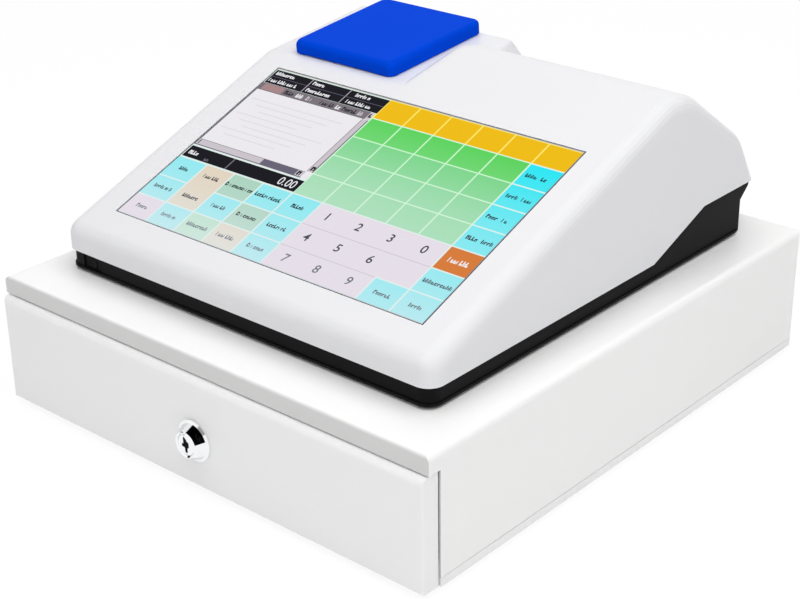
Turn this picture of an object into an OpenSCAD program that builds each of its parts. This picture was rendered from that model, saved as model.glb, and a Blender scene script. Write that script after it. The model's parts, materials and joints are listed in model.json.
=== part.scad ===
// Ticket register: a touch-screen till standing on its own cash drawer.
// Millimetres, +Z up, front of the drawer towards -Y, X to the right of a
// person facing the front. The origin is under the middle of the whole
// object, on the surface it stands on.
// Depths named *_y are measured back from the front face of the drawer
// cover's lip; placed() moves them to the origin above.

/* [Drawer case] */
// Width of the drawer cover
case_w = 330; // [320:1:400]
// Depth of the drawer cover
case_d = 360; // [352:1:440]
// Height of the drawer case without its feet
case_h = 80; // [76:1:110]
// Thickness of the sheet steel
sheet_t = 1.2; // [1:0.1:1.6]
// Outer radius of the long folds at the sides
fold_r = 4; // [3:0.5:9]
// Outer radius of the rear fold and the rear corners
rear_fold_r = 3; // [2:0.5:8]
// Outer radius of the fold over the front lip
lip_fold_r = 2; // [1.5:0.5:5]
// Height of the lip that hangs over the drawer front
lip_h = 11; // [8:0.5:14]
// Distance that the lip reaches out in front of the side walls
lip_reach = 9; // [7:0.5:12]
// Height of the pan's rim that shows below the cover
rim_h = 5; // [4:0.5:8]
// Gap between the pan's rim and the cover's lower edge
rim_gap = 0.4; // [0.2:0.1:1]
// Height of the upstand that the cover is welded to
upstand_h = 16; // [12:1:22]
// Clearance between the cover's walls and the pan's upstand
cover_fit = 0.1; // [0.05:0.05:0.3]
// Height of the rubber feet
foot_h = 3; // [2:0.5:8]
// Diameter of the rubber feet
foot_d = 18; // [12:1:24]

/* [Drawer] */
// Distance that the drawer front stands out in front of the lip
front_proud = 3.8; // [2:0.1:5]
// Depth of the folded drawer front
front_t = 12; // [10:0.5:14]
// Gap between the drawer front and the end of the case, each side
front_side_gap = 1; // [0.5:0.1:2]
// Gap between the drawer front and the lip above it
front_top_gap = 1; // [0.4:0.1:1.5]
// Radius of the drawer front's upper edge
front_edge_r = 4; // [2:0.5:5]
// Width of the return flange behind the drawer front
return_w = 12; // [8:1:16]
// Room behind the tray for the latch and the eject spring
rear_room = 41.8; // [38:0.2:60]
// Height of the tray's walls
tray_h = 56; // [50:1:58]
// Height of the tray's floor above the case bottom
tray_floor_z = 6; // [5.5:0.5:8]
// Distance left between the roller axles when the drawer is open
roller_stop = 31.2; // [20:0.2:120]
// Distance from the front of the tray to the wall behind the lock
lock_bay_d = 22; // [20:1:26]

/* [Runners] */
// Depth of the rail channel from its web to its open side
rail_w = 12; // [11:0.5:16]
// Height of the rail above the case bottom
rail_z = 8; // [7:0.5:10]
// Diameter of the nylon rollers
roller_d = 14; // [12:0.5:16]
// Width of the nylon rollers
roller_w = 6; // [5:0.5:7]
// Diameter of the roller axles
axle_d = 4; // [3:0.5:5]
// Play of a roller inside the rail, above and below it
roller_play = 0.4; // [0.3:0.1:0.8]
// Gap between a roller and what it carries
roller_gap = 0.3; // [0.2:0.05:0.4]
// Clearance between the rail and the tray
rail_gap = 1.5; // [1:0.1:3]

/* [Key lock] */
// Height of the lock's axis above the case bottom
lock_z = 30; // [28:0.5:36]
// Distance that the lock stands out of the drawer front
lock_out = 7.6; // [5:0.1:10]
// Outer diameter of the lock's flange
lock_flange_d = 25; // [22:0.5:28]
// Diameter of the flat face of the lock's collar
lock_collar_d = 16; // [15:0.5:18]
// Diameter of the threaded barrel behind the flange
lock_barrel_d = 18.4; // [16:0.2:19]
// Diameter of the turning cylinder
lock_plug_d = 13; // [10:0.2:14]
// Length of the cam from the lock's axis to its end
cam_l = 27.6; // [24:0.2:28]
// Width of the cam
cam_w = 12; // [9:0.5:14]
// Thickness of the cam
cam_t = 2; // [1.5:0.1:3]
// Height of the keeper tab above the case bottom
keeper_h = 5; // [4:0.1:5.2]

/* [Cash insert] */
// Number of note bays
note_bays = 4; // [3:1:4]
// Number of coin cups
coin_cups = 5; // [4:1:6]
// Height of the insert
insert_h = 42; // [36:1:44]
// Thickness of the insert's walls
insert_t = 2.4; // [2:0.1:3]
// Depth of the coin cups from front to back
cup_d = 78; // [70:1:84]
// Clearance around the insert inside the tray
insert_gap = 1; // [0.5:0.1:2]
// Diameter of the rod that the bill clips turn on
clip_rod_d = 4; // [3:0.5:5]
// Length of a bill clip from the rod to its foot
clip_l = 90; // [70:1:92]
// Width of a bill clip's arm
clip_w = 14; // [10:1:20]
// Slope of a bill clip at rest, below level
clip_drop = 27; // [20:1:28]

/* [Latch] */
// Diameter of the latch bolt
bolt_d = 6; // [5:0.5:7]
// Distance that the latch bolt rises
bolt_stroke = 6; // [4:0.5:7]
// Height of the solenoid's frame
solenoid_h = 16; // [14:0.5:17]
// Height of the striker above the case bottom
striker_z = 34; // [33:0.5:38]
// Wire diameter of the eject spring
spring_wire = 1.4; // [1:0.1:1.8]
// Outer diameter of the eject spring
spring_d = 12; // [10:0.5:14]

/* [Register housing] */
// Width of the register
reg_w = 286; // [276:1:300]
// Distance of the register's middle from the drawer's, to the right
reg_x = -3.3; // [-6:0.1:6]
// Distance from the lip to the register's front
reg_y = 32; // [28:1:36]
// Distance from the lip to the rear edge of the register
tail_y = 341.5; // [336:0.5:345]
// Wall thickness of the white shell
shell_t = 2.5; // [2:0.1:3]
// Height at which the sloping face would meet the front, above the case
nose_h = 28.6; // [26:0.2:34]
// Slope of the face in degrees
face_tilt = 20.7; // [19:0.1:22]
// Distance from the lip to the ridge
ridge_y = 258; // [252:0.2:262]
// Slope of the back in degrees
back_tilt = 36.9; // [34:0.1:40]
// Distance from the lip to where the back turns steep
knee_y = 322.6; // [318:0.2:330]
// Radius where the back turns steep
knee_r = 40; // [20:1:44]
// Height of the rear edge above the case
tail_h = 33.3; // [31:0.1:36]
// Height of the shell's lower edge at the front and sides
band_h = 13.3; // [12:0.1:15]
// Distance from the lip to where the lower edge starts to rise
rise_y = 232; // [220:1:245]
// Distance from the lip to where the lower edge is level again
rise_end_y = 284; // [270:1:300]
// Radius of the front corners seen from above
corner_r = 10; // [8:0.5:15]
// Radius of the ridge
ridge_r = 40; // [24:1:44]
// Radius of the long side edges
edge_r = 9; // [6:0.5:11]
// Radius of the edges of the back
back_edge_r = 5; // [3:0.5:6]

/* [Printer bay] */
// Distance from the lip to where the face flattens into the bay
bay_y = 205; // [198:1:210]
// Slope of the bay in degrees
bay_tilt = 5; // [3:0.5:7]
// Distance from the lip to the rear edge of the bay
bay_end_y = 300; // [297:0.5:304]
// Position of the bay's right edge across the register
bay_x = -12; // [-18:0.5:-8]
// Middle of the printer across the register
printer_x = -78.3; // [-82:0.1:-76]
// Width of the printer cover
lid_w = 83.4; // [80:0.2:86]
// Distance from the start of the bay to the cover's front edge
lid_start = 3.5; // [3.5:0.5:6]
// Distance from the start of the bay to the hinge pin
hinge_v = 89.5; // [87:0.5:91]
// Radius of the cover's front corners seen from above
lid_front_r = 5.5; // [5:0.5:9]
// Radius of the cover's rear corners seen from above
lid_back_r = 6; // [5:0.5:9]
// Radius of the cover's upper edges at the front and the sides
lid_soft = 4.5; // [3:0.5:5]
// Thickness of the printer cover
lid_h = 9; // [8:0.1:10]
// Wall thickness of the printer cover
lid_t = 2; // [1.6:0.1:2.4]
// Gap under the printer cover
lid_gap = 0.3; // [0.2:0.05:0.5]
// Diameter of the hinge pin
pin_d = 2.5; // [2:0.1:3]
// Width of the paper roll
paper_w = 57; // [50:0.5:57.5]
// Diameter of the paper roll
roll_d = 42; // [30:1:43]
// Diameter of the rubber platen roller
platen_d = 9; // [8:0.5:9.5]
// Gear module
gear_m = 0.8; // [0.6:0.1:0.9]

/* [Screen] */
// Width of the lit area
screen_w = 236.5; // [220:0.5:240]
// Height of the lit area along the slope
screen_h = 148; // [138:1:150]
// Distance along the slope from the front edge to the lit area's middle
screen_run = 96.6; // [92:0.2:98]
// Distance of the lit area's middle from the register's, to the right
screen_x = 1.3; // [-4:0.1:4]
// Thickness of the touch glass
glass_t = 2.2; // [1.8:0.1:2.4]
// Gap around the touch glass
glass_gap = 0.5; // [0.3:0.1:0.8]
// Thickness of the screen module
lcd_t = 7; // [5:0.5:9]

/* [Register base] */
// Distance that the base's walls stand in behind the shell
base_inset = 2; // [1:0.1:2.4]
// Wall thickness of the base
base_t = 2.8; // [2.4:0.1:3.2]
// Distance that the base's rear wall stands in from the register's rear edge
base_setback = 12.2; // [10:0.2:16]
// Distance that the base's foot flange stands out of its walls
flange_out = 0.8; // [0.4:0.1:1]
// Height of the pads under the register
pad_h = 2; // [1.5:0.5:4]
// Height of the screwed bosses
boss_h = 4; // [3:0.5:6]
// Distance of the power button from the register's left side
button_inset = 22.5; // [21:0.5:30]
// Diameter of the power button
button_d = 7; // [5:0.5:7.5]
// Travel of the power button
button_stroke = 1.2; // [0.5:0.1:1.5]

/* [Hidden] */

// Roundness of turned parts, and of what is used inside a hull
$fn = 48;
hull_fn = 32;
// A hair of overlap for cuts that run past a face
eps = 0.01;
// Radial clearance of a shaft in its bore
run_gap = 0.05;
// Clearance between moulded or pressed parts that don't slide
seat_gap = 0.3;
// Clearance between the shell's inside and what is fixed against it
skin_gap = 0.15;

// --- Levels and depths of the drawer ---
case_z = foot_h;
deck_z = case_z + case_h;
// The most forward point is the lock's face
y_mid = (case_d - front_proud - lock_out) / 2;
lip_z = deck_z - lip_h;
rim_t = 2 * sheet_t + cover_fit;
pan_y = front_t - front_proud + 1;
wall_x = case_w / 2 - rim_t;
// Drawer front
front_y = -front_proud;
front_back_y = front_y + front_t;
front_w = case_w - 2 * front_side_gap;
front_z0 = case_z + 0.4;
front_z1 = lip_z - front_top_gap;
// Rails and rollers
rail_in_h = roller_d + 2 * roller_play;
rail_z0 = case_z + rail_z;
rail_top = rail_z0 + rail_in_h + 2 * sheet_t;
rail_y0 = 40;
rail_y1 = case_d - 12;
rail_nose_y = 20;
front_axle_y = 30;
roller_x = wall_x - sheet_t - 4.3 - roller_w / 2;
rear_roller_z = rail_z0 + sheet_t + roller_play + roller_d / 2;
runner_z = rail_top + 0.5;
front_roller_z = runner_z - roller_gap - roller_d / 2;
// Tray
tray_x = wall_x - rail_w - rail_gap;
tray_y0 = front_back_y;
tray_y1 = case_d - rear_room;
tray_z0 = case_z + tray_floor_z;
tray_z1 = tray_z0 + tray_h;
tray_floor_y = tray_y0 + lock_bay_d;
rear_axle_y = tray_y1 - 12;
// The drawer stops when its rear rollers come near the front ones
travel = rear_axle_y - front_axle_y - roller_stop;
runner_w = wall_x - sheet_t - 2.5 - tray_x;
// Lock
lock_axis_z = case_z + lock_z;
lock_face_y = front_y - lock_out;
barrel_end_y = tray_floor_y - 8;
cam_y = barrel_end_y + 0.5;
keeper_y = cam_y - sheet_t - 1;
// Insert
insert_x = tray_x - sheet_t - insert_gap;
insert_y0 = tray_floor_y + sheet_t + insert_gap;
insert_y1 = tray_y1 - sheet_t - insert_gap;
insert_z0 = tray_z0 + sheet_t;
insert_z1 = insert_z0 + insert_h;
cup_w = (2 * insert_x - (coin_cups + 1) * insert_t) / coin_cups;
note_w = (2 * insert_x - (note_bays + 1) * insert_t) / note_bays;
note_y0 = insert_y0 + insert_t + cup_d + insert_t;
clip_axis_y = insert_y1 - 7;
clip_axis_z = insert_z1 + clip_rod_d / 2 + 3;
clip_barrel_d = clip_rod_d + 4;
// Latch
latch_y = tray_y1 + 12.5;
striker_l = latch_y - tray_y1 + 8;
bolt_top_z = case_z + striker_z - 1.2;
frame_w = 26;
frame_half_d = 9;
frame_z0 = case_z + sheet_t;
frame_z1 = frame_z0 + solenoid_h;
collar_z1 = case_z + striker_z - bolt_stroke - 0.4;
collar_z0 = collar_z1 - 1;
post_x = 70;
post_y = tray_y1 + 22;
post_z = case_z + 26;

// --- Levels and depths of the register ---
reg_z = deck_z + pad_h;
band_z = deck_z + band_h;
tail_z = deck_z + tail_h;
base_z1 = reg_z + base_t;
board_z = base_z1 + boss_h;
board_t = 1.6;
screw_x = reg_w / 2 - 13;
screw_front_y = reg_y + 20;
screw_back_y = 286;
button_x = reg_w / 2 - button_inset;
button_z = reg_z + 5.3;
tongue_h = 4;
base_front_y = reg_y + base_inset;
base_end_y = tail_y - base_setback;
// Depth of the sockets on the board
socket_d = 16;
port_y = base_end_y - socket_d;
// Main board: half its width, its depth and the place of its four posts
board_half = reg_w / 2 - 41;
board_d = 82;
board_y1 = port_y + 4;
board_post_x = board_half - 10;
board_post_y = [board_y1 - board_d + 8, board_y1 - 10];
switch_d = 7;

// Height of the sloping face, of the back and of the bay at a depth y
function face_z(y) = deck_z + nose_h + (y - reg_y) * tan(face_tilt);
function back_z(y) = face_z(ridge_y) - (y - ridge_y) * tan(back_tilt);
function bay_z(y) = face_z(bay_y) + (y - bay_y) * tan(bay_tilt);

// Left end of the ridge, beside the printer cover, and width of the bay's right flank
ridge_x = bay_x - 10;
flank_w = 12;

// Directions [y, z] of the four long surfaces, and their outward normals
face_dir = [cos(face_tilt), sin(face_tilt)];
bay_dir = [cos(bay_tilt), sin(bay_tilt)];
back_dir = [cos(back_tilt), -sin(back_tilt)];
knee = [knee_y, back_z(knee_y)];
tail = [tail_y, tail_z];
tail_dir = (tail - knee) / norm(tail - knee);
bay_end = [bay_end_y, bay_z(bay_end_y)];
bay_back_dir = (knee - bay_end) / norm(knee - bay_end);
function outward(d) = [-d[1], d[0]];

// Centre of a circle of radius r that touches two surfaces meeting at p
function fillet_centre(p, d1, d2, r) =
    let (n1 = outward(d1), n2 = outward(d2), k = n1[0] * n2[1] - n1[1] * n2[0])
    p + [-r * (n2[1] - n1[1]) / k, -r * (n1[0] - n2[0]) / k];

// Printer, in the bay's own axes: v along the bay, w out of it
hinge_w = lid_gap + 4.4;
hinge_nose_r = 4;
lid_end = hinge_v + hinge_nose_r;
platen_v = 15;
platen_w = -3.2;
platen_shaft_d = 3;
mouth_x0 = printer_x - 35;
mouth_x1 = printer_x + 35;
mouth_v0 = 7;
mouth_v1 = hinge_v - 4.5;
paper_x0 = mouth_x0 + 2.5;
paper_x1 = paper_x0 + paper_w + 1.5;
bucket_t = 2;
roll_v = 54;
roll_w = -27;
platen_teeth = 16;
idler_teeth = 20;
pinion_teeth = 10;
mesh_gap = 0.15;
gear_x0 = paper_x1 + bucket_t + 0.5;
gear_w = 4;
plate_x = gear_x0 + gear_w + 1;
plate_t = 1.2;
// The idler lies straight under the platen's way out as the cover opens
swing = [hinge_w - platen_w, hinge_v - platen_v];
swing_dir = [-swing[0], swing[1]] / norm(swing);
idler = [platen_v, platen_w] - swing_dir * (gear_m * (platen_teeth + idler_teeth) / 2 + mesh_gap);
pinion_dir = [cos(30), -sin(30)];
pinion = idler + pinion_dir * (gear_m * (idler_teeth + pinion_teeth) / 2 + mesh_gap);
motor_d = 20;
motor_l = 14;
lug_x = 24;
lug_w = 6;
lug_r = 3.3;

// Screen, in the face's own axes
glass_w = screen_w + 1;
glass_h = screen_h + 1;
lcd_w = screen_w + 9;
lcd_h = screen_h + 9;

// Customer window, in the back's own axes
window_w = 90;
window_h = 24;
window_x = 62;
window_run = 46;

// ---------- shapes used by several parts ----------

// Moves depths from the lip to the object's origin
module placed() {
    translate([0, -y_mid, 0]) children();
}

// Places a part of the register, which stands a little off the drawer's middle
module on_case() {
    placed() translate([reg_x, 0, 0]) children();
}

// Extrudes a profile drawn as [y, z] across the object
module across(x0, x1) {
    translate([x0, 0, 0]) rotate([90, 0, 90]) linear_extrude(x1 - x0) children();
}

// Extrudes a profile drawn as [x, z] from front to back
module deep(y0, y1) {
    translate([0, y1, 0]) rotate([90, 0, 0]) linear_extrude(y1 - y0) children();
}

// Block between two corners
module block(a, b) {
    translate(a) cube(b - a);
}

// Rectangle between two corners with true arcs: radii at
// low-left, low-right, high-right, high-left
module soft_rect(x0, y0, x1, y1, radii) {
    corners = [[x0, y0, 1, 1], [x1, y0, -1, 1], [x1, y1, -1, -1], [x0, y1, 1, -1]];
    difference() {
        translate([x0, y0]) square([x1 - x0, y1 - y0]);
        for (i = [0:3])
            if (radii[i] > 0) corner_waste(corners[i], radii[i]);
    }
}

// What a rounded corner takes off a square one
module corner_waste(c, r) {
    translate([c[0], c[1]]) scale([c[2], c[3]]) difference() {
        translate([-1, -1]) square(r + 1);
        translate([r, r]) circle(r);
    }
}

// Cylinder along X from x0 to x1 at depth y and height z
module bar_x(x0, x1, y, z, d) {
    translate([x0, y, z]) rotate([0, 90, 0]) cylinder(d = d, h = x1 - x0);
}

// Cylinder along Y from y0 to y1
module bar_y(y0, y1, x, z, d) {
    translate([x, y1, z]) rotate([90, 0, 0]) cylinder(d = d, h = y1 - y0);
}

// Points of an arc around c, from angle a0 to a1
function arc(c, r, a0, a1, steps) =
    [for (i = [0:steps]) let (a = a0 + (a1 - a0) * i / steps) c + r * [cos(a), sin(a)]];

// Drum across the object with softened rims, from x0 to x1
module soft_drum(x0, x1, yz, r, rim) {
    e = min(rim, r - eps);
    half = [for (p = arc([r - e, x1 - e], e, 0, 90, 6)) p];
    low = [for (p = arc([r - e, x0 + e], e, -90, 0, 6)) p];
    translate([0, yz[0], yz[1]]) rotate([90, 0, 90])
        rotate_extrude($fn = 64) polygon(concat([[0, x0]], low, half, [[0, x1]]));
}

// Straight-flanked spur gear outline with its first tooth on the +x side
module gear_outline(teeth, m, turn) {
    pitch_r = m * teeth / 2;
    tip_r = pitch_r + 0.9 * m;
    root_r = pitch_r - 1.25 * m;
    half_pitch = (PI * m / 4 - 0.1) / pitch_r * 180 / PI;
    lean = m * tan(20) / pitch_r * 180 / PI;
    tip_a = half_pitch - 0.9 * lean;
    root_a = half_pitch + 1.25 * lean;
    polygon([for (i = [0:teeth - 1]) let (a = turn + i * 360 / teeth)
        each [root_r * [cos(a - root_a), sin(a - root_a)], tip_r * [cos(a - tip_a), sin(a - tip_a)],
              tip_r * [cos(a + tip_a), sin(a + tip_a)], root_r * [cos(a + root_a), sin(a + root_a)]]]);
}

// Round wire wound along +z, drawn as one swept tube
module coil(d, wire, turns, length) {
    sides = 6;
    steps = 12;
    n = turns * steps;
    r = (d - wire) / 2;
    rings = [for (i = [0:n]) let (a = 360 * i / steps, z = wire / 2 + (length - wire) * i / n)
        [for (j = [0:sides - 1]) let (b = 360 * j / sides)
            [(r + wire / 2 * cos(b)) * cos(a), (r + wire / 2 * cos(b)) * sin(a),
             z + wire / 2 * sin(b)]]];
    sides_faces = [for (i = [0:n - 1]) for (j = [0:sides - 1]) let (k = (j + 1) % sides)
        [i * sides + j, (i + 1) * sides + j, (i + 1) * sides + k, i * sides + k]];
    start = [for (j = [0:sides - 1]) j];
    end = [for (j = [sides - 1:-1:0]) n * sides + j];
    polyhedron([for (ring = rings) each ring], concat([start], sides_faces, [end]), convexity = 10);
}

// ---------- drawer case ----------

// Outer form of the case, inset by i on every outside face
module case_form(i) {
    intersection() {
        deep(i, case_d - i)
            soft_rect(-case_w / 2 + i, case_z - 1, case_w / 2 - i, deck_z - i, [0, 0, fold_r - i, fold_r - i]);
        across(-case_w / 2, case_w / 2)
            soft_rect(i, case_z - 1, case_d - i, deck_z - i, [0, 0, rear_fold_r - i, lip_fold_r - i]);
        translate([0, 0, case_z - 1]) linear_extrude(case_h + 2) pan_plan(i, 0);
    }
}

// Plan of the case behind depth y0, inset by i
module pan_plan(i, y0) {
    r = rear_fold_r - i;
    soft_rect(-case_w / 2 + i, y0 - eps, case_w / 2 - i, case_d - i, [0, 0, r, r]);
}

module drawer_cover() {
    color("whitesmoke") placed() difference() {
        case_form(0);
        case_form(sheet_t);
        // everything down to the pan's rim
        block([-case_w, -1, case_z - 2], [case_w, case_d + 1, case_z + rim_h + rim_gap]);
        // the mouth that the drawer front fills
        block([-case_w, -1, case_z - 2], [case_w, lip_reach, lip_z]);
    }
}

module base_pan() {
    color("gainsboro") placed() {
        difference() {
            union() {
                translate([0, 0, case_z]) linear_extrude(rim_h) pan_plan(0, pan_y);
                translate([0, 0, case_z]) linear_extrude(upstand_h) pan_plan(sheet_t + cover_fit, pan_y);
            }
            translate([0, 0, case_z + sheet_t]) linear_extrude(upstand_h) pan_plan(rim_t, pan_y - 1);
        }
        // keeper tab that the lock's cam drops behind
        block([-8, keeper_y, case_z + sheet_t - eps], [8, keeper_y + sheet_t, case_z + keeper_h]);
    }
}

// One rail; side is -1 on the left and 1 on the right
module rail(side) {
    web_x = wall_x - sheet_t;
    color("silver") placed() mirror([side < 0 ? 1 : 0, 0, 0]) {
        difference() {
            block([wall_x - rail_w, rail_y0, rail_z0], [wall_x, rail_y1, rail_top]);
            block([wall_x - rail_w - 1, rail_y0 - 1, rail_z0 + sheet_t],
                [web_x, rail_y1 + 1, rail_top - sheet_t]);
        }
        block([web_x, rail_nose_y, rail_z0], [wall_x, rail_y0 + eps, rail_top]);
        bar_x(roller_x - roller_w / 2 - 0.6, web_x + eps, front_axle_y, front_roller_z, axle_d);
        bar_x(roller_x + roller_w / 2 + seat_gap, web_x + eps, front_axle_y, front_roller_z, axle_d + 3);
    }
}

module left_rail() { rail(-1); }
module right_rail() { rail(1); }

module drawer_feet() {
    foot_x = case_w / 2 - 30;
    color("dimgray") placed()
        for (x = [-foot_x, foot_x], y = [40, case_d - 36])
            translate([x, y, 0]) rotate_extrude()
                polygon([[0, 0], [foot_d / 2 - 1, 0], [foot_d / 2, 1], [foot_d / 2, foot_h], [0, foot_h]]);
}

// Nylon roller at a given side, depth and height
module roller(side, y, z) {
    x = side * roller_x;
    color("ivory") placed() difference() {
        translate([x - roller_w / 2, y, z]) rotate([0, 90, 0]) rotate_extrude() difference() {
            square([roller_d / 2, roller_w]);
            translate([roller_d / 2, 0]) rotate(45) square(1, center = true);
            translate([roller_d / 2, roller_w]) rotate(45) square(1, center = true);
        }
        bar_x(x - roller_w, x + roller_w, y, z, axle_d + 2 * run_gap);
    }
}

module front_roller_left() { roller(-1, front_axle_y, front_roller_z); }
module front_roller_right() { roller(1, front_axle_y, front_roller_z); }
module rear_roller_left() { roller(-1, rear_axle_y, rear_roller_z); }
module rear_roller_right() { roller(1, rear_axle_y, rear_roller_z); }

// ---------- latch and eject spring ----------

module solenoid_frame() {
    color("darkgray") placed() difference() {
        block([-frame_w / 2, latch_y - frame_half_d, frame_z0], [frame_w / 2, latch_y + frame_half_d, frame_z1]);
        block([-frame_w / 2 + 2, latch_y - frame_half_d - 1, frame_z0 + 2],
            [frame_w / 2 - 2, latch_y + frame_half_d + 1, frame_z1 - 2]);
        translate([0, latch_y, frame_z1 - 3]) cylinder(d = bolt_d + 2 * run_gap, h = 4);
    }
}

module solenoid_coil() {
    color("peru") placed() translate([0, latch_y, frame_z0 + 2]) difference() {
        cylinder(d = 2 * frame_half_d - 1, h = solenoid_h - 4);
        translate([0, 0, 2]) cylinder(d = bolt_d + 4 * run_gap, h = solenoid_h);
    }
}

module latch_bolt() {
    color("silver") placed() translate([0, latch_y, 0]) {
        translate([0, 0, frame_z0 + 6]) cylinder(d = bolt_d, h = bolt_top_z - frame_z0 - 6);
        translate([0, 0, collar_z0]) cylinder(d = bolt_d + 4, h = collar_z1 - collar_z0);
    }
}

module bolt_spring() {
    color("gray") placed() translate([0, latch_y, frame_z1 + 0.05])
        coil(bolt_d + 2.6, 0.7, 6, collar_z0 - frame_z1 - 0.1);
}

module striker_plate() {
    z0 = case_z + striker_z;
    color("silver") placed() difference() {
        union() {
            block([-10, tray_y1, z0], [10, tray_y1 + striker_l, z0 + 1.6]);
            block([-10, tray_y1, z0], [10, tray_y1 + 1.6, z0 + 12]);
        }
        block([-bolt_d / 2 - 1.5, latch_y - bolt_d / 2 - 1.5, z0 - 1], [bolt_d / 2 + 1.5, latch_y + bolt_d / 2 + 1.5, z0 + 3]);
    }
}

module spring_post() {
    color("darkgray") placed() {
        block([post_x - 9, post_y, case_z + sheet_t], [post_x + 9, post_y + 2, post_z + 9]);
        block([post_x - 9, post_y - 6, case_z + sheet_t], [post_x + 9, post_y + eps, case_z + sheet_t + 2]);
        bar_y(post_y - 10, post_y + eps, post_x, post_z, spring_d - 2 * spring_wire - 1);
    }
}

module eject_spring() {
    length = post_y - tray_y1 - seat_gap;
    color("gray") placed() translate([post_x, post_y, post_z]) rotate([90, 0, 0])
        coil(spring_d, spring_wire, 6, length);
}

// ---------- drawer ----------

// Outer form of the drawer front, inset by i
module front_form(i, back) {
    intersection() {
        across(-front_w / 2 + i, front_w / 2 - i)
            soft_rect(front_y + i, front_z0 + i, back, front_z1 - i, [1.5, 0, 0, front_edge_r - i]);
        translate([0, 0, front_z0 - 1]) linear_extrude(front_z1 - front_z0 + 2)
            soft_rect(-front_w / 2 + i, front_y + i, front_w / 2 - i, back, [1.5, 1.5, 0, 0]);
    }
}

module drawer_front() {
    color("whitesmoke") placed() difference() {
        front_form(0, front_back_y);
        front_form(sheet_t, front_back_y - sheet_t);
        // the opening inside the return flange
        block([-front_w / 2 + return_w, front_back_y - 2 * sheet_t, front_z0 + return_w],
            [front_w / 2 - return_w, front_back_y + 1, front_z1 - return_w]);
        bar_y(front_y - 1, front_y + 3, 0, lock_axis_z, lock_barrel_d + 0.4);
    }
}

module drawer_tray() {
    front_x = front_w / 2 - 7;
    color("lightgray") placed() difference() {
        union() {
            // front wall that the folded front is riveted to
            block([-tray_x, tray_y0, tray_z0], [tray_x, tray_y0 + sheet_t, tray_z1]);
            for (s = [-1, 1]) mirror([s < 0 ? 1 : 0, 0, 0]) {
                block([tray_x - sheet_t, tray_y0, tray_z0], [tray_x, tray_y1, tray_z1]);
                // ear that ties the tray to the front's return flange
                block([tray_x - eps, tray_y0, case_z + 40], [front_x, tray_y0 + sheet_t, tray_z1]);
                // runner that rides on the front roller
                block([tray_x - eps, tray_y0, runner_z], [tray_x + runner_w, tray_y1, runner_z + sheet_t]);
                bar_x(tray_x - eps, roller_x + roller_w / 2 + 0.5, rear_axle_y, rear_roller_z, axle_d);
                bar_x(tray_x - eps, roller_x - roller_w / 2 - seat_gap, rear_axle_y, rear_roller_z, axle_d + 3);
            }
            // floor, the wall behind the lock and the back
            block([-tray_x, tray_floor_y, tray_z0], [tray_x, tray_y1, tray_z0 + sheet_t]);
            block([-tray_x, tray_floor_y, tray_z0], [tray_x, tray_floor_y + sheet_t, tray_z1 - 14]);
            block([-tray_x, tray_y1 - sheet_t, tray_z0], [tray_x, tray_y1, tray_z1]);
        }
        bar_y(tray_y0 - 1, tray_y0 + 3, 0, lock_axis_z, lock_barrel_d + 2);
    }
}

// One coin cup: a scooped pocket whose floor is part of a lying cylinder
module cup_pocket(x) {
    y0 = insert_y0 + insert_t;
    scoop_r = cup_d / 2;
    depth = insert_h - insert_t;
    z = insert_z1 - depth + scoop_r;
    intersection() {
        union() {
            bar_x(x, x + cup_w, y0 + scoop_r, z, 2 * scoop_r);
            block([x, y0, z], [x + cup_w, y0 + cup_d, insert_z1 + 50]);
        }
        block([x - 1, y0, insert_z0], [x + cup_w + 1, y0 + cup_d, insert_z1 + 1]);
    }
}

module cash_insert() {
    color("#2b2b2e") placed() difference() {
        union() {
            translate([0, 0, insert_z0]) linear_extrude(insert_h)
                soft_rect(-insert_x, insert_y0, insert_x, insert_y1, [3, 3, 3, 3]);
            // ears that carry the clip rod
            for (i = [0:note_bays])
                clip_ear(-insert_x + i * (note_w + insert_t));
        }
        for (i = [0:coin_cups - 1])
            cup_pocket(-insert_x + insert_t + i * (cup_w + insert_t));
        for (i = [0:note_bays - 1])
            block([-insert_x + insert_t + i * (note_w + insert_t), note_y0, insert_z0 + insert_t],
                [-insert_x + (i + 1) * (note_w + insert_t), insert_y1 - insert_t, insert_z1 + 1]);
        bar_x(-insert_x - 1, insert_x + 1, clip_axis_y, clip_axis_z, clip_rod_d + 0.1);
    }
}

// Ear on a partition, with its upper end rounded about the rod
module clip_ear(x) {
    across(x, x + insert_t) {
        translate([clip_axis_y, clip_axis_z]) circle(d = clip_rod_d + 5);
        translate([clip_axis_y - clip_rod_d / 2 - 2.5, insert_z1 - 6])
            square([clip_rod_d + 5, clip_axis_z - insert_z1 + 6]);
    }
}

module clip_rod() {
    color("silver") placed() bar_x(-insert_x, insert_x, clip_axis_y, clip_axis_z, clip_rod_d);
}

// Bill clip of bay i: barrel, arm and rounded foot in one moulding
module bill_clip(i) {
    x = -insert_x + insert_t + (i - 1) * (note_w + insert_t) + note_w / 2;
    color("#3a3a3d") placed() translate([x, clip_axis_y, clip_axis_z]) rotate([clip_drop, 0, 0])
        difference() {
            union() {
                across(-clip_w / 2, clip_w / 2) {
                    circle(d = clip_barrel_d);
                    translate([-clip_l + 4, -1.5]) square([clip_l - 4, 3]);
                    translate([-clip_l + 4, 0]) circle(d = 8);
                }
                across(-clip_w / 2 - 10, clip_w / 2 + 10) circle(d = clip_barrel_d);
                across(-1.2, 1.2) polygon([[-clip_l + 8, 0], [-4, 0], [-6, 4], [-clip_l + 30, 3.2]]);
            }
            bar_x(-clip_w / 2 - 11, clip_w / 2 + 11, 0, 0, clip_rod_d + 2 * run_gap);
            bar_x(-clip_w, clip_w, -clip_l + 4, 0, 3);
        }
}

module bill_clip_1() { bill_clip(1); }
module bill_clip_2() { bill_clip(2); }
module bill_clip_3() { bill_clip(3); }
module bill_clip_4() { bill_clip(4); }

// ---------- key lock ----------

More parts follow.
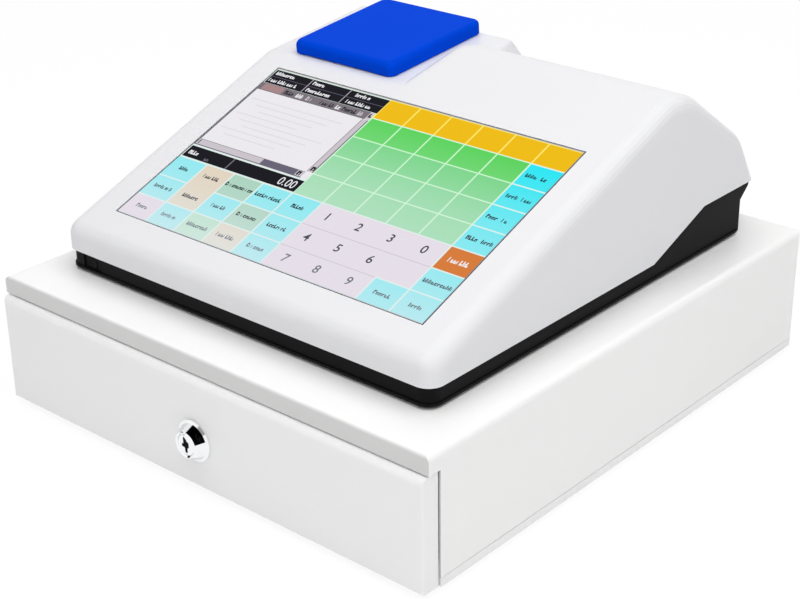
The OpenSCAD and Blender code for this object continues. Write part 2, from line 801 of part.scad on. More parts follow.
// Turns a lathe profile drawn as [radius, distance behind the face] about the lock's axis
module lock_turned() {
    placed() translate([0, lock_face_y, lock_axis_z]) rotate([-90, 0, 0]) rotate_extrude() children();
}

module lock_bezel() {
    f = lock_flange_d / 2;
    c = lock_collar_d / 2;
    bore = lock_plug_d / 2 + run_gap;
    color("lightsteelblue") lock_turned()
        polygon([[bore, 0.8], [bore + 0.8, 0], [c - 0.3, 0], [c, 0.3],
            [f - 1.6, lock_out - 2], [f, lock_out - 1.2], [f, lock_out],
            [lock_barrel_d / 2, lock_out], [lock_barrel_d / 2, barrel_end_y - lock_face_y],
            [bore, barrel_end_y - lock_face_y]]);
}

module lock_nut() {
    nut_y = front_y + sheet_t;
    color("silver") placed() difference() {
        translate([0, nut_y + 3, lock_axis_z]) rotate([90, 0, 0]) cylinder(d = 26, h = 3, $fn = 6);
        bar_y(nut_y - 1, nut_y + 4, 0, lock_axis_z, lock_barrel_d + 0.1);
    }
}

module lock_cylinder() {
    color("lightsteelblue") difference() {
        union() {
            lock_turned() polygon([[0, 0.5], [lock_plug_d / 2 - 0.6, 0.5], [lock_plug_d / 2, 1.1],
                [lock_plug_d / 2, cam_y - lock_face_y], [0, cam_y - lock_face_y]]);
            placed() translate([0, cam_y + cam_t + 0.6, lock_axis_z]) rotate([90, 0, 0])
                linear_extrude(cam_t + 1) tang_outline();
        }
        // keyway: a slot with a side ward
        placed() {
            block([-0.7, lock_face_y - 1, lock_axis_z - 3.6], [0.7, lock_face_y + 9, lock_axis_z + 3.6]);
            block([-1.8, lock_face_y - 1, lock_axis_z - 0.6], [0, lock_face_y + 9, lock_axis_z + 1]);
        }
    }
}

// End of the cylinder that drives the cam: a round with two flats
module tang_outline() {
    intersection() {
        circle(r = 4.5);
        square([10, 6.4], center = true);
    }
}

module lock_cam() {
    color("silver") placed() translate([0, cam_y + cam_t, lock_axis_z]) rotate([90, 0, 0])
        linear_extrude(cam_t) difference() {
            union() {
                circle(d = cam_w + 2);
                translate([0, -cam_w / 2]) square([cam_l - cam_w / 2, cam_w]);
                translate([cam_l - cam_w / 2, 0]) circle(d = cam_w);
            }
            tang_outline();
        }
}

// ---------- register housing ----------

// Post of the front corners: upright, with a ball end under the sloping face
module nose_posts(i, x0, x1) {
    r = corner_r - i;
    z = face_z(reg_y + corner_r) - corner_r / cos(face_tilt);
    for (x = [x0 + corner_r, x1 - corner_r])
        translate([x, reg_y + corner_r, 0]) {
            translate([0, 0, deck_z - 2 - i]) cylinder(r = r, h = z - deck_z + 2 + i, $fn = 48);
            translate([0, 0, z]) sphere(r = r, $fn = 48);
        }
}

// Drums under the steep back; i is the inset
module back_drums(i, x0, x1) {
    low = tail + tail_dir * (8 + 2 * i);
    soft_drum(x0 + i, x1 - i, fillet_centre(knee, back_dir, tail_dir, knee_r), knee_r - i, back_edge_r - i);
    soft_drum(x0 + i, x1 - i, low - outward(tail_dir) * 6, 6 - i, back_edge_r - i);
}

// Right part of the housing: face, ridge and back, inset by i
module ridge_form(i) {
    left = ridge_x - 53;
    hull($fn = hull_fn) {
        nose_posts(i, left, reg_w / 2);
        soft_drum(ridge_x + i, reg_w / 2 - i,
            fillet_centre([ridge_y, face_z(ridge_y)], face_dir, back_dir, ridge_r), ridge_r - i, edge_r - i);
        back_drums(i, left, reg_w / 2);
    }
}

// Left part of the housing: face, flat printer bay and back, inset by i
module bay_form(i) {
    right = bay_x + flank_w;
    hull($fn = hull_fn) {
        nose_posts(i, -reg_w / 2, right);
        soft_drum(-reg_w / 2 + i, right - i,
            fillet_centre([bay_y, face_z(bay_y)], face_dir, bay_dir, 24), 24 - i, edge_r - i);
        soft_drum(-reg_w / 2 + i, bay_x - i,
            fillet_centre(bay_end, bay_dir, bay_back_dir, 7), 7 - i, back_edge_r - i);
        back_drums(i, -reg_w / 2, right);
    }
}

module housing_form(i) {
    ridge_form(i);
    bay_form(i);
}

// Lower edge of the shell as [y, z]: level, rising, level again
skirt = [[reg_y - 20, band_z], [rise_y, band_z], [rise_end_y, tail_z], [tail_y + 20, tail_z]];

// Puts children in the axes of the sloping face, at its front edge
module on_face() {
    translate([0, reg_y, face_z(reg_y)]) rotate([face_tilt, 0, 0]) children();
}

// Puts children in the axes of the back, at the ridge
module on_back() {
    translate([0, ridge_y, back_z(ridge_y)]) rotate([-back_tilt, 0, 0]) children();
}

// Puts children in the axes of the printer bay, at its front edge
module in_bay() {
    translate([0, bay_y, bay_z(bay_y)]) rotate([bay_tilt, 0, 0]) children();
}

module register_shell() {
    color("white") on_case() {
        difference() {
            housing_form(0);
            housing_form(shell_t);
            // everything under the lower edge
            across(-reg_w, reg_w)
                polygon(concat(skirt, [[tail_y + 20, deck_z - 40], [reg_y - 20, deck_z - 40]]));
            // screen opening
            on_face() translate([screen_x, screen_run, 0])
                cube([glass_w + 2 * glass_gap, glass_h + 2 * glass_gap, 4 * shell_t], center = true);
            // customer window
            on_back() translate([window_x, window_run, 0])
                cube([window_w + 2 * seat_gap, window_h + 2 * seat_gap, 4 * shell_t], center = true);
            // paper mouth
            in_bay() block([mouth_x0, mouth_v0, -6], [mouth_x1, mouth_v1, 6]);
        }
        in_bay() for (s = [-1, 1]) hinge_lug(printer_x + s * lug_x);
        for (s = [-1, 1])
            screw_post(s * screw_x, screw_front_y, face_z(screw_front_y - 3.5) - 0.4);
        screw_post(-screw_x, screw_back_y, bay_z(screw_back_y - 3.5) - 0.4);
        screw_post(screw_x, screw_back_y, back_z(screw_back_y + 3.5) - 0.4);
    }
}

// Lug that holds the printer cover's hinge pin
module hinge_lug(x) {
    difference() {
        across(x - lug_w / 2, x + lug_w / 2) {
            translate([hinge_v, hinge_w]) circle(r = lug_r);
            translate([hinge_v - lug_r, -shell_t / 2]) square([2 * lug_r, hinge_w + shell_t / 2]);
        }
        bar_x(x - lug_w, x + lug_w, hinge_v, hinge_w, pin_d + 0.1);
    }
}

// Hollow post that a screw from below bites into
module screw_post(x, y, top) {
    z0 = base_z1 + boss_h;
    translate([x, y, z0]) difference() {
        cylinder(d = 7, h = top - z0);
        translate([0, 0, -1]) cylinder(d = 2.6, h = 13);
    }
}

// Side view of the base as [y, z], inset by i all round and lifted by up; its
// rear edge stands back by a further back
module base_side(i, up, back) {
    end = tail_y - 0.6 - i - back;
    flare_z = tail_z - 0.6 - (base_setback - base_inset);
    polygon([[base_front_y + i, reg_z + i], [base_end_y - i, reg_z + i],
        [base_end_y - i, flare_z + up - i / 2], [end, tail_z - 0.6 + up],
        [end, tail_z + up], [rise_end_y, tail_z + up], [rise_y, band_z + up],
        [base_front_y + i, band_z + up]]);
}

// Plan of the base, inset by i
module base_plan(i) {
    half = reg_w / 2 - base_inset - i;
    soft_rect(-half, base_front_y + i, half, tail_y - 0.6 - i,
        [corner_r - base_inset - i, corner_r - base_inset - i, 4, 4]);
}

module base_body(i, up, back) {
    intersection() {
        across(-reg_w, reg_w) base_side(i, up, back);
        translate([0, 0, deck_z]) linear_extrude(60) base_plan(i);
    }
}

// Rear socket openings as [x, width, height]
dc_port = [board_half - 7, 9, 11];
usb_port = [0.57 * board_half, 14, 15];
net_port = [0.18 * board_half, 16, 13.5];
till_port = [-0.18 * board_half, 13, 12];

module port_cut(p) {
    z0 = board_z + board_t;
    block([p[0] - p[1] / 2 - seat_gap, base_end_y - 8, z0 - seat_gap],
        [p[0] + p[1] / 2 + seat_gap, tail_y, z0 + p[2] + seat_gap]);
}

module register_base() {
    lock_t = shell_t + seat_gap;
    foot_x = reg_w / 2 - base_inset + flange_out;
    foot_r = corner_r - base_inset + flange_out;
    color("#1c1c1e") on_case() difference() {
        union() {
            difference() {
                union() {
                    base_body(0, 0, 0);
                    // tongue that stands up inside the shell
                    base_body(lock_t - base_inset, tongue_h, 6.6);
                    // thin foot flange
                    translate([0, 0, reg_z]) linear_extrude(1.6)
                        soft_rect(-foot_x, base_front_y - flange_out, foot_x, base_end_y,
                            [foot_r, foot_r, 4, 4]);
                }
                base_body(base_t, 30, 0);
            }
            for (s = [-1, 1], y = [screw_front_y, screw_back_y])
                translate([s * screw_x, y, base_z1 - eps]) cylinder(d = 9, h = boss_h + eps);
            for (s = [-1, 1], y = board_post_y)
                translate([s * board_post_x, y, base_z1 - eps]) cylinder(d = 6, h = boss_h + eps);
        }
        for (s = [-1, 1], y = [screw_front_y, screw_back_y])
            translate([s * screw_x, y, reg_z - 1]) {
                cylinder(d = 3.4, h = 30);
                cylinder(d = 6.6, h = 1 + base_t + 1);
            }
        for (p = [dc_port, usb_port, net_port, till_port]) port_cut(p);
        // scooped recess and bore of the power button
        block([-button_x - 8, base_front_y - 2, button_z - 3.9], [-button_x + 8, base_front_y + 0.9, button_z + 4.3]);
        bar_y(base_front_y - 2, base_front_y + base_t + 1, -button_x, button_z, button_d + 4 * run_gap);
        // well in the floor behind the button
        block([-button_x - 6, base_front_y + base_t - eps, reg_z + 1.2],
            [-button_x + 6, base_front_y + base_t + 8, base_z1 + 1]);
    }
}

module base_screws() {
    color("silver") on_case()
        for (s = [-1, 1], y = [screw_front_y, screw_back_y])
            translate([s * screw_x, y, reg_z + base_t + 1]) {
                cylinder(d = 2.5, h = boss_h + 9);
                translate([0, 0, -2]) difference() {
                    cylinder(d = 6, h = 2);
                    translate([0, 0, -1]) cylinder(d = 2.6, h = 2, $fn = 6);
                }
            }
}

module register_feet() {
    color("dimgray") on_case()
        for (s = [-1, 1], y = [reg_y + 34, base_end_y - 26])
            translate([s * (reg_w / 2 - 30), y, deck_z]) rotate_extrude()
                polygon([[0, 0], [7, 0], [7.5, 0.5], [7.5, pad_h], [0, pad_h]]);
}

module power_button() {
    y0 = base_front_y + 0.4;
    back = base_front_y + base_t;
    color("gray") on_case() translate([-button_x, y0, button_z]) rotate([-90, 0, 0]) {
        rotate_extrude()
            polygon([[0, 0.4], [1.2, 0.2], [button_d / 2 - 0.6, 0], [button_d / 2, 0.6],
                [button_d / 2, back - y0 + 1.2], [1.5, back - y0 + 1.2], [1.5, back - y0 + 2.8],
                [0, back - y0 + 2.8]]);
        // wings that keep the button from falling out
        translate([0, 0, back - y0 + 0.7])
            cube([button_d + 3, button_d - 3, 1], center = true);
    }
}

module power_switch() {
    y0 = base_front_y + base_t + 2.8 + button_stroke + seat_gap;
    color("#303034") on_case()
        block([-button_x - 4.5, y0, base_z1], [-button_x + 4.5, y0 + switch_d, button_z + 4]);
}

module main_board() {
    color("#1f5a36") on_case() difference() {
        block([-board_half, board_y1 - board_d, board_z], [board_half, board_y1, board_z + board_t]);
        for (s = [-1, 1], y = board_post_y)
            translate([s * board_post_x, y, board_z - 1]) cylinder(d = 3, h = 4);
    }
}

// Socket body on the board's rear edge with its mouth facing back
module socket_body(p) {
    z0 = board_z + board_t;
    block([p[0] - p[1] / 2, port_y - 4, z0], [p[0] + p[1] / 2, base_end_y + 0.3, z0 + p[2]]);
}

module dc_inlet() {
    z = board_z + board_t + dc_port[2] / 2;
    color("#202022") on_case() {
        difference() {
            socket_body(dc_port);
            bar_y(base_end_y - 9, base_end_y + 2, dc_port[0], z, 6.4);
        }
        bar_y(base_end_y - 9.5, base_end_y - 1, dc_port[0], z, 2);
    }
}

module usb_ports() {
    z0 = board_z + board_t;
    color("silver") on_case() difference() {
        socket_body(usb_port);
        for (k = [0, 1])
            block([usb_port[0] - 6.2, base_end_y - 9, z0 + 1 + k * 7],
                [usb_port[0] + 6.2, base_end_y + 2, z0 + 6 + k * 7]);
    }
}

// Telephone-style socket: square mouth with a latch notch
module plug_socket(p) {
    z0 = board_z + board_t;
    difference() {
        socket_body(p);
        block([p[0] - p[1] / 2 + 2, base_end_y - 9, z0 + 4], [p[0] + p[1] / 2 - 2, base_end_y + 2, z0 + p[2] - 1.5]);
        block([p[0] - 2, base_end_y - 9, z0 + 1.8], [p[0] + 2, base_end_y + 2, z0 + 4.1]);
    }
}

module network_socket() { color("silver") on_case() plug_socket(net_port); }
module drawer_socket() { color("#202022") on_case() plug_socket(till_port); }

module touch_glass() {
    color("lightcyan") on_case() on_face() translate([screen_x - glass_w / 2, screen_run - glass_h / 2, -shell_t])
        cube([glass_w, glass_h, glass_t]);
}

module lcd_module() {
    color("#26282c") on_case() on_face() translate([screen_x - lcd_w / 2, screen_run - lcd_h / 2, -shell_t - skin_gap - lcd_t])
        cube([lcd_w, lcd_h, lcd_t]);
}

module customer_window() {
    color("#202428") on_case() on_back()
        translate([window_x - window_w / 2, window_run - window_h / 2, -shell_t])
            cube([window_w, window_h, shell_t - 0.3]);
}

module customer_display() {
    color("#26402e") on_case() on_back()
        translate([window_x - window_w / 2 - 4, window_run - window_h / 2 - 3, -shell_t - skin_gap - 8])
            cube([window_w + 8, window_h + 6, 8]);
}

// ---------- receipt printer ----------

// Printer cover: a shallow domed lid, hinged behind, hollow below
module printer_cover() {
    x0 = printer_x - lid_w / 2;
    x1 = printer_x + lid_w / 2;
    top = lid_gap + lid_h;
    ear = 2;
    color("royalblue") on_case() in_bay() difference() {
        union() {
            difference() {
                lid_form(x0, x1, top);
                // hollow, stepped in under the soft upper edges
                block([x0 + lid_t, lid_start + lid_t, -5],
                    [x1 - lid_t, hinge_v - hinge_nose_r - 2, top - lid_t - 1.5]);
                block([x0 + lid_t + 1.5, lid_start + lid_t + 1.5, -5],
                    [x1 - lid_t - 1.5, hinge_v - hinge_nose_r - 2, top - lid_t]);
            }
            // ears that carry the platen roller
            for (x = [mouth_x0 + 0.6, paper_x1 + 0.1])
                across(x, x + ear) {
                    translate([platen_v, platen_w]) circle(r = 3.6);
                    translate([platen_v - 3.6, platen_w]) square([7.2, top - lid_t - platen_w + 0.5]);
                }
        }
        bar_x(mouth_x0 - 2, mouth_x1 + 2, platen_v, platen_w, platen_shaft_d + 0.1);
        bar_x(x0 + 10, x1 - 10, hinge_v, hinge_w, pin_d + 0.1);
        // pockets that let the lid swing round the lugs
        for (s = [-1, 1]) lug_pocket(printer_x + s * lug_x);
        // paper slot under the front edge
        block([paper_x0, lid_start - 1, lid_gap - 1], [paper_x1, lid_start + lid_t + 1, lid_gap + 0.8]);
    }
}

// Outer form of the lid: soft upper edges, and a quarter round about the pin
// under its rear edge that lets it swing
module lid_form(x0, x1, top) {
    intersection() {
        hull($fn = hull_fn) {
            for (x = [x0 + lid_front_r, x1 - lid_front_r])
                translate([x, lid_start + lid_front_r, lid_gap]) lid_corner(lid_front_r, lid_soft);
            for (x = [x0 + lid_back_r, x1 - lid_back_r])
                translate([x, lid_end - lid_back_r, lid_gap]) lid_corner(lid_back_r, lid_soft - 1.5);
        }
        across(x0 - 1, x1 + 1) {
            translate([lid_start - 1, -1]) square([hinge_v - lid_start + 1, top + 2]);
            translate([hinge_v - 1, hinge_w]) square([hinge_nose_r + 2, top]);
            translate([hinge_v, hinge_w]) circle(r = hinge_nose_r);
        }
    }
}

// Upright corner of the lid with its upper edge rounded by soft
module lid_corner(r, soft) {
    rotate_extrude()
        polygon(concat([[0, 0], [r - 0.6, 0], [r, 0.6]], arc([r - soft, lid_h - soft], soft, 0, 90, 6),
            [[0, lid_h]]));
}

module lug_pocket(x) {
    w = lug_w / 2 + 0.3;
    r = lug_r + 0.4;
    across(x - w, x + w) {
        translate([hinge_v, hinge_w]) circle(r = r);
        translate([hinge_v - r, -2]) square([r + hinge_nose_r + 2, hinge_w + r + 2]);
    }
}

module hinge_pin() {
    color("silver") on_case() in_bay()
        bar_x(printer_x - lug_x - lug_w / 2, printer_x + lug_x + lug_w / 2, hinge_v, hinge_w, pin_d);
}

module platen_roller() {
    mid = (paper_x0 + paper_x1) / 2;
    color("#333338") on_case() in_bay() {
        bar_x(mid - paper_w / 2, mid + paper_w / 2, platen_v, platen_w, platen_d);
        bar_x(mouth_x0 + 0.4, gear_x0 + gear_w + 0.4, platen_v, platen_w, platen_shaft_d);
    }
}

// Angle of a direction [v, w] in the bay's side view
function turn_of(d) = atan2(d[1], d[0]);

// Gear in the bay's side view at c, with a tooth at angle turn
module train_gear(teeth, c, turn, bore) {
    across(gear_x0, gear_x0 + gear_w) translate(c) difference() {
        gear_outline(teeth, gear_m, turn);
        circle(d = bore);
    }
}

module platen_gear() {
    color("ivory") on_case() in_bay()
        train_gear(platen_teeth, [platen_v, platen_w], turn_of(-swing_dir), platen_shaft_d);
}

module idler_gear() {
    // a gap faces the platen gear
    color("ivory") on_case() in_bay()
        train_gear(idler_teeth, idler, turn_of(swing_dir) + 180 / idler_teeth, 3 + 2 * run_gap);
}

module motor_pinion() {
    // one tooth of the idler points at angle t, so the pinion shows it a gap there
    first = turn_of(swing_dir) + 180 / idler_teeth;
    step = 360 / idler_teeth;
    toward = turn_of(pinion_dir);
    off = (toward - first) / step - floor((toward - first) / step);
    back_turn = (off - 0.5) * step * idler_teeth / pinion_teeth;
    color("ivory") on_case() in_bay() {
        train_gear(pinion_teeth, pinion, toward + 180 + back_turn, 2);
        bar_x(gear_x0, plate_x + plate_t + 4, pinion[0], pinion[1], 2);
    }
}

module side_plate() {
    color("silver") on_case() in_bay() {
        difference() {
            block([plate_x, 8, -38], [plate_x + plate_t, 46, -6]);
            bar_x(plate_x - 1, plate_x + 3, pinion[0], pinion[1], 4);
        }
        // stub axle of the idler and two spacers to the bucket's wall
        bar_x(paper_x1 + bucket_t, plate_x + eps, idler[0], idler[1], 3);
        for (c = [[36, -11], [42, -32]])
            bar_x(paper_x1 + bucket_t, plate_x + eps, c[0], c[1], 5);
    }
}

module feed_motor() {
    color("darkgray") on_case() in_bay() difference() {
        bar_x(plate_x + plate_t, plate_x + plate_t + motor_l, pinion[0], pinion[1], motor_d);
        bar_x(plate_x, plate_x + plate_t + 5, pinion[0], pinion[1], 2 + 2 * run_gap);
    }
}

// Side view of the bucket's inside as [v, w]
module bucket_side(grow) {
    hull() {
        translate([roll_v, roll_w]) circle(r = roll_d / 2 + seat_gap + grow);
        translate([mouth_v0 + 0.3 - grow, -16 - grow]) square([20, 10]);
        translate([mouth_v0 + 0.3 - grow, -8]) square([mouth_v1 - mouth_v0 - 4 + 2 * grow, 1]);
    }
}

module paper_bucket() {
    flange = 4;
    color("#2a2a2c") on_case() in_bay() difference() {
        union() {
            across(paper_x0 - bucket_t, paper_x1 + bucket_t) {
                bucket_side(bucket_t);
                translate([mouth_v0 + 0.3 - bucket_t, -9]) square([mouth_v1 - mouth_v0 - 4 + 2 * bucket_t, 9 - shell_t - skin_gap]);
            }
            block([mouth_x0 - flange, mouth_v0 - flange, -shell_t - skin_gap - 1.6],
                [mouth_x1 + flange, mouth_v1 + flange, -shell_t - skin_gap]);
        }
        across(paper_x0, paper_x1) {
            bucket_side(0);
            translate([mouth_v0 + 0.3, -9]) square([mouth_v1 - mouth_v0 - 4, 20]);
        }
        // room for the platen's ears, shaft and gear
        block([mouth_x0, platen_v - 5.5, platen_w - 5.5], [mouth_x1, platen_v + 5.5, 1]);
        block([gear_x0 - 0.4, mouth_v0, -shell_t - 3], [mouth_x1, mouth_v1, 1]);
    }
}

module thermal_head() {
    color("#4a4038") on_case() in_bay()
        block([paper_x0 + 1, mouth_v0 + 0.3, -16], [paper_x1 - 1, platen_v - platen_d / 2 - 0.5, platen_w + 1.4]);
}

module tear_bar() {
    teeth = 28;
    pitch = (paper_x1 - paper_x0 - 4) / teeth;
    z0 = platen_w + 1.4;
    color("silver") on_case() in_bay() deep(mouth_v0 + 0.4, mouth_v0 + 1.2)
        polygon(concat([[paper_x0 + 2, z0]], [for (i = [0:teeth - 1]) each [
            [paper_x0 + 2 + i * pitch, z0 + 1.2], [paper_x0 + 2 + (i + 0.5) * pitch, z0 + 2]]],
            [[paper_x1 - 2, z0 + 1.2], [paper_x1 - 2, z0]]));
}

module paper_roll() {
    mid = (paper_x0 + paper_x1) / 2;
    color("white") on_case() in_bay() difference() {
        bar_x(mid - paper_w / 2, mid + paper_w / 2, roll_v, roll_w, roll_d);
        bar_x(mid - paper_w, mid + paper_w, roll_v, roll_w, 12);
    }
}

drawer_cover();
base_pan();
left_rail();
right_rail();
drawer_feet();
solenoid_frame();
solenoid_coil();
bolt_spring();
spring_post();
eject_spring();
drawer_front();
drawer_tray();
cash_insert();
clip_rod();
bill_clip_1();
bill_clip_2();
bill_clip_3();
bill_clip_4();
lock_bezel();
lock_nut();
lock_cylinder();
lock_cam();
striker_plate();
front_roller_left();
front_roller_right();
rear_roller_left();
rear_roller_right();
latch_bolt();
register_base();
register_shell();
touch_glass();
lcd_module();
main_board();
dc_inlet();
usb_ports();
network_socket();
drawer_socket();
power_switch();
power_button();
register_feet();
base_screws();
customer_window();
customer_display();
paper_bucket();
thermal_head();
tear_bar();
side_plate();
feed_motor();
hinge_pin();
printer_cover();
platen_roller();
platen_gear();
idler_gear();
motor_pinion();
paper_roll();
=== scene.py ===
# %% [markdown]
# # Ticket register: its looks
#
# A till with a touch screen stands on a steel cash drawer. The solids come
# ready-made and are never moved here. This script gives every piece its
# material, draws the screen's picture, adds the fine parts that are too
# small for the solids, and sets up the camera and the light.
#
# All lengths are in metres. The origin is under the middle of the object,
# +Z is up and the drawer opens towards -Y.

import json
import math

import bmesh
import bpy
from mathutils import Matrix, Vector


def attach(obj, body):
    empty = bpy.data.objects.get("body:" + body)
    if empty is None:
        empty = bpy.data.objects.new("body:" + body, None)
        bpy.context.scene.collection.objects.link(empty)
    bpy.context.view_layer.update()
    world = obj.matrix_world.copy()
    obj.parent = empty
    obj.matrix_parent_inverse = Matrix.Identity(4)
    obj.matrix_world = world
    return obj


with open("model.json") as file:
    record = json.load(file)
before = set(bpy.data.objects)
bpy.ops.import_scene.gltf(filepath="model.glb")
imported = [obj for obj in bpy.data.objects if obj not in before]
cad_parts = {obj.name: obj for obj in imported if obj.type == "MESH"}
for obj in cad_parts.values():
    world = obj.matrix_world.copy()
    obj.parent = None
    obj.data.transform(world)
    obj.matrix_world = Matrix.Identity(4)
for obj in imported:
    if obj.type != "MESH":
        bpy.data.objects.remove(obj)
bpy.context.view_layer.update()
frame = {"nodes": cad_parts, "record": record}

# %% [markdown]
# ## Helpers for new pieces
#
# The fine parts below are a few millimetres long, so `mm` lets them be
# written in millimetres. Each new part is built in a bmesh, which is Blender's
# mesh in the making: operators can shape it without an edit mode. When it is
# done, `finish_piece` turns it into an object. Its place is in its mesh and
# the object itself stays at the origin, so that it can ride on a moving body
# like the solids do.

# %% Millimetres, and a finished piece
def mm(*values):
    """Millimetres to metres: a number, or a vector of three."""
    if len(values) == 1:
        return values[0] / 1000
    return Vector(values) / 1000


def finish_piece(name, bm, materials, body):
    """Makes an object of a bmesh, which rides on a body."""
    mesh = bpy.data.meshes.new(name)
    bm.to_mesh(mesh)
    bm.free()
    for m in materials:
        mesh.materials.append(m)
    obj = bpy.data.objects.new(name, mesh)
    bpy.context.collection.objects.link(obj)
    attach(obj, body)
    return obj


print("helpers ready")

# %% [markdown]
# ## Materials
#
# The drawer is powder-coated steel, the housings are moulded plastic, the
# lock is polished chrome and the feet are rubber. None of them is perfectly
# even: the colour drifts a little, the gloss varies, and there is a fine
# grain. An image could carry all this, but noise needs no image and no
# unwrapping, and it stays sharp from any distance. One recipe makes every
# material; what differs is the size and the depth of the grain.

# %% One recipe for every surface
def surface(name, colour, rough, metal=0.0, grain=0.02, grain_size=0.5, mottle=0.02, shine=0.5, brushed=None):
    """A material; grain is the depth and grain_size the width of its texture in mm."""
    m = bpy.data.materials.new(name)
    m.use_nodes = True
    nodes, link = m.node_tree.nodes, m.node_tree.links.new
    shader = nodes["Principled BSDF"]
    place = nodes.new("ShaderNodeTexCoord")
    shader.inputs["Metallic"].default_value = metal
    shader.inputs["Specular IOR Level"].default_value = shine

    # slow change of colour over the piece
    cloud = nodes.new("ShaderNodeTexNoise")
    cloud.inputs["Scale"].default_value = 14
    cloud.inputs["Detail"].default_value = 3
    link(place.outputs["Object"], cloud.inputs["Vector"])
    tone = nodes.new("ShaderNodeMix")
    tone.data_type = "RGBA"
    tone.inputs["A"].default_value = (*[c * (1 - mottle) for c in colour], 1)
    tone.inputs["B"].default_value = (*[min(1, c * (1 + mottle)) for c in colour], 1)
    link(cloud.outputs["Fac"], tone.inputs["Factor"])
    link(tone.outputs["Result"], shader.inputs["Base Color"])

    # fine texture, stretched along one axis on brushed metal
    stretch = nodes.new("ShaderNodeMapping")
    stretch.inputs["Scale"].default_value = brushed or (1, 1, 1)
    link(place.outputs["Object"], stretch.inputs["Vector"])
    fine = nodes.new("ShaderNodeTexNoise")
    fine.inputs["Scale"].default_value = 1000 / grain_size
    fine.inputs["Detail"].default_value = 2
    link(stretch.outputs["Vector"], fine.inputs["Vector"])
    gloss = nodes.new("ShaderNodeMapRange")
    gloss.inputs["To Min"].default_value = rough * 0.9
    gloss.inputs["To Max"].default_value = rough * 1.1
    link(fine.outputs["Fac"], gloss.inputs["Value"])
    link(gloss.outputs["Result"], shader.inputs["Roughness"])
    bump = nodes.new("ShaderNodeBump")
    bump.inputs["Strength"].default_value = 0.5
    bump.inputs["Distance"].default_value = mm(grain)
    link(fine.outputs["Fac"], bump.inputs["Height"])
    link(bump.outputs["Normal"], shader.inputs["Normal"])
    return m


# %% [markdown]
# The powder coat has the coarsest grain, like fine orange peel. The moulded
# shell is much smoother. Chrome has almost none, and rolled steel gets a
# grain that is stretched along the direction in which it was brushed.

# %% Coats, plastics, metals and small stuff
white_steel = surface("white_powder_coat", (0.90, 0.90, 0.90), 0.42, grain=0.03, grain_size=0.9, mottle=0.006)
white_plastic = surface(
    "white_shell_plastic", (0.775, 0.775, 0.795), 0.36, grain=0.008, grain_size=0.35, mottle=0.006
)
blue_plastic = surface(
    "blue_lid_plastic", (0.0, 0.058, 0.66), 0.5, grain=0.01, grain_size=0.4, mottle=0.03, shine=0.008
)
black_plastic = surface(
    "black_base_plastic", (0.005, 0.005, 0.0055), 0.5, grain=0.02, grain_size=0.4, mottle=0.08, shine=0.07
)
insert_plastic = surface(
    "black_insert_plastic", (0.04, 0.04, 0.042), 0.5, grain=0.04, grain_size=0.7, mottle=0.08
)
zinc_steel = surface(
    "zinc_plated_steel", (0.62, 0.63, 0.64), 0.34, metal=1.0,
    grain=0.006, grain_size=0.3, mottle=0.05, brushed=(1, 0.06, 1),
)
chrome = surface(
    "polished_chrome", (0.88, 0.89, 0.90), 0.05, metal=1.0, grain=0.0005, grain_size=0.5, mottle=0.01
)
rubber = surface("black_rubber", (0.025, 0.025, 0.025), 0.75, grain=0.03, grain_size=0.5, mottle=0.1)
nylon = surface("natural_nylon", (0.80, 0.78, 0.72), 0.4, grain=0.01, grain_size=0.5, mottle=0.02)
copper = surface(
    "coil_winding", (0.55, 0.27, 0.10), 0.35, metal=0.7,
    grain=0.06, grain_size=0.5, mottle=0.05, brushed=(0.05, 0.05, 1),
)
board = surface("circuit_board", (0.02, 0.14, 0.06), 0.4, grain=0.01, grain_size=0.8, mottle=0.15)
paper = surface("paper", (0.88, 0.88, 0.86), 0.85, grain=0.02, grain_size=0.3, mottle=0.01)
dark_glass = surface("dark_glass", (0.012, 0.013, 0.015), 0.08, grain=0.0005, grain_size=2.0, mottle=0.02)
gold = surface("gold_contacts", (0.85, 0.62, 0.25), 0.3, metal=1.0, grain=0.001, grain_size=0.4, mottle=0.02)
print(len(bpy.data.materials), "materials")

# %% [markdown]
# ### Painted shade on the cover's fold
#
# The steel cover turns down over the drawer front in a narrow fold. It has
# the same coat as the top, and painted shade makes it a little greyer. The
# cover is one solid, so a second material would need its faces picked out. It
# is simpler to let the colour follow the way a face looks: the normal's share
# along -Y darkens it as painted shade.

# %% Painted shade on the cover's fold
def paint_fold_shade(m, depth):
    """Paints shade on a material: darkens the faces that look towards the front."""
    nodes, link = m.node_tree.nodes, m.node_tree.links.new
    shader = nodes["Principled BSDF"]
    tone = shader.inputs["Base Color"].links[0].from_socket
    place = nodes.new("ShaderNodeTexCoord")
    way = nodes.new("ShaderNodeVectorMath")
    way.operation = "DOT_PRODUCT"
    way.inputs[1].default_value = (0, -1, 0)
    link(place.outputs["Normal"], way.inputs[0])
    facing = nodes.new("ShaderNodeMapRange")
    facing.inputs["From Min"].default_value = 0.4
    facing.inputs["To Min"].default_value = 1.0
    facing.inputs["To Max"].default_value = 1.0 - depth
    link(way.outputs["Value"], facing.inputs["Value"])
    painted_shade = nodes.new("ShaderNodeVectorMath")
    painted_shade.operation = "SCALE"
    link(tone, painted_shade.inputs[0])
    link(facing.outputs["Result"], painted_shade.inputs["Scale"])
    link(painted_shade.outputs["Vector"], shader.inputs["Base Color"])


cover_coat_with_painted_shade = surface("white_cover_coat_painted_shade", (0.91, 0.91, 0.905), 0.42, grain=0.03, grain_size=0.9, mottle=0.006)
# painted shade: faces looking straight to the front are darkened by 26 percent
paint_fold_shade(cover_coat_with_painted_shade, 0.26)
print("cover coat ready")
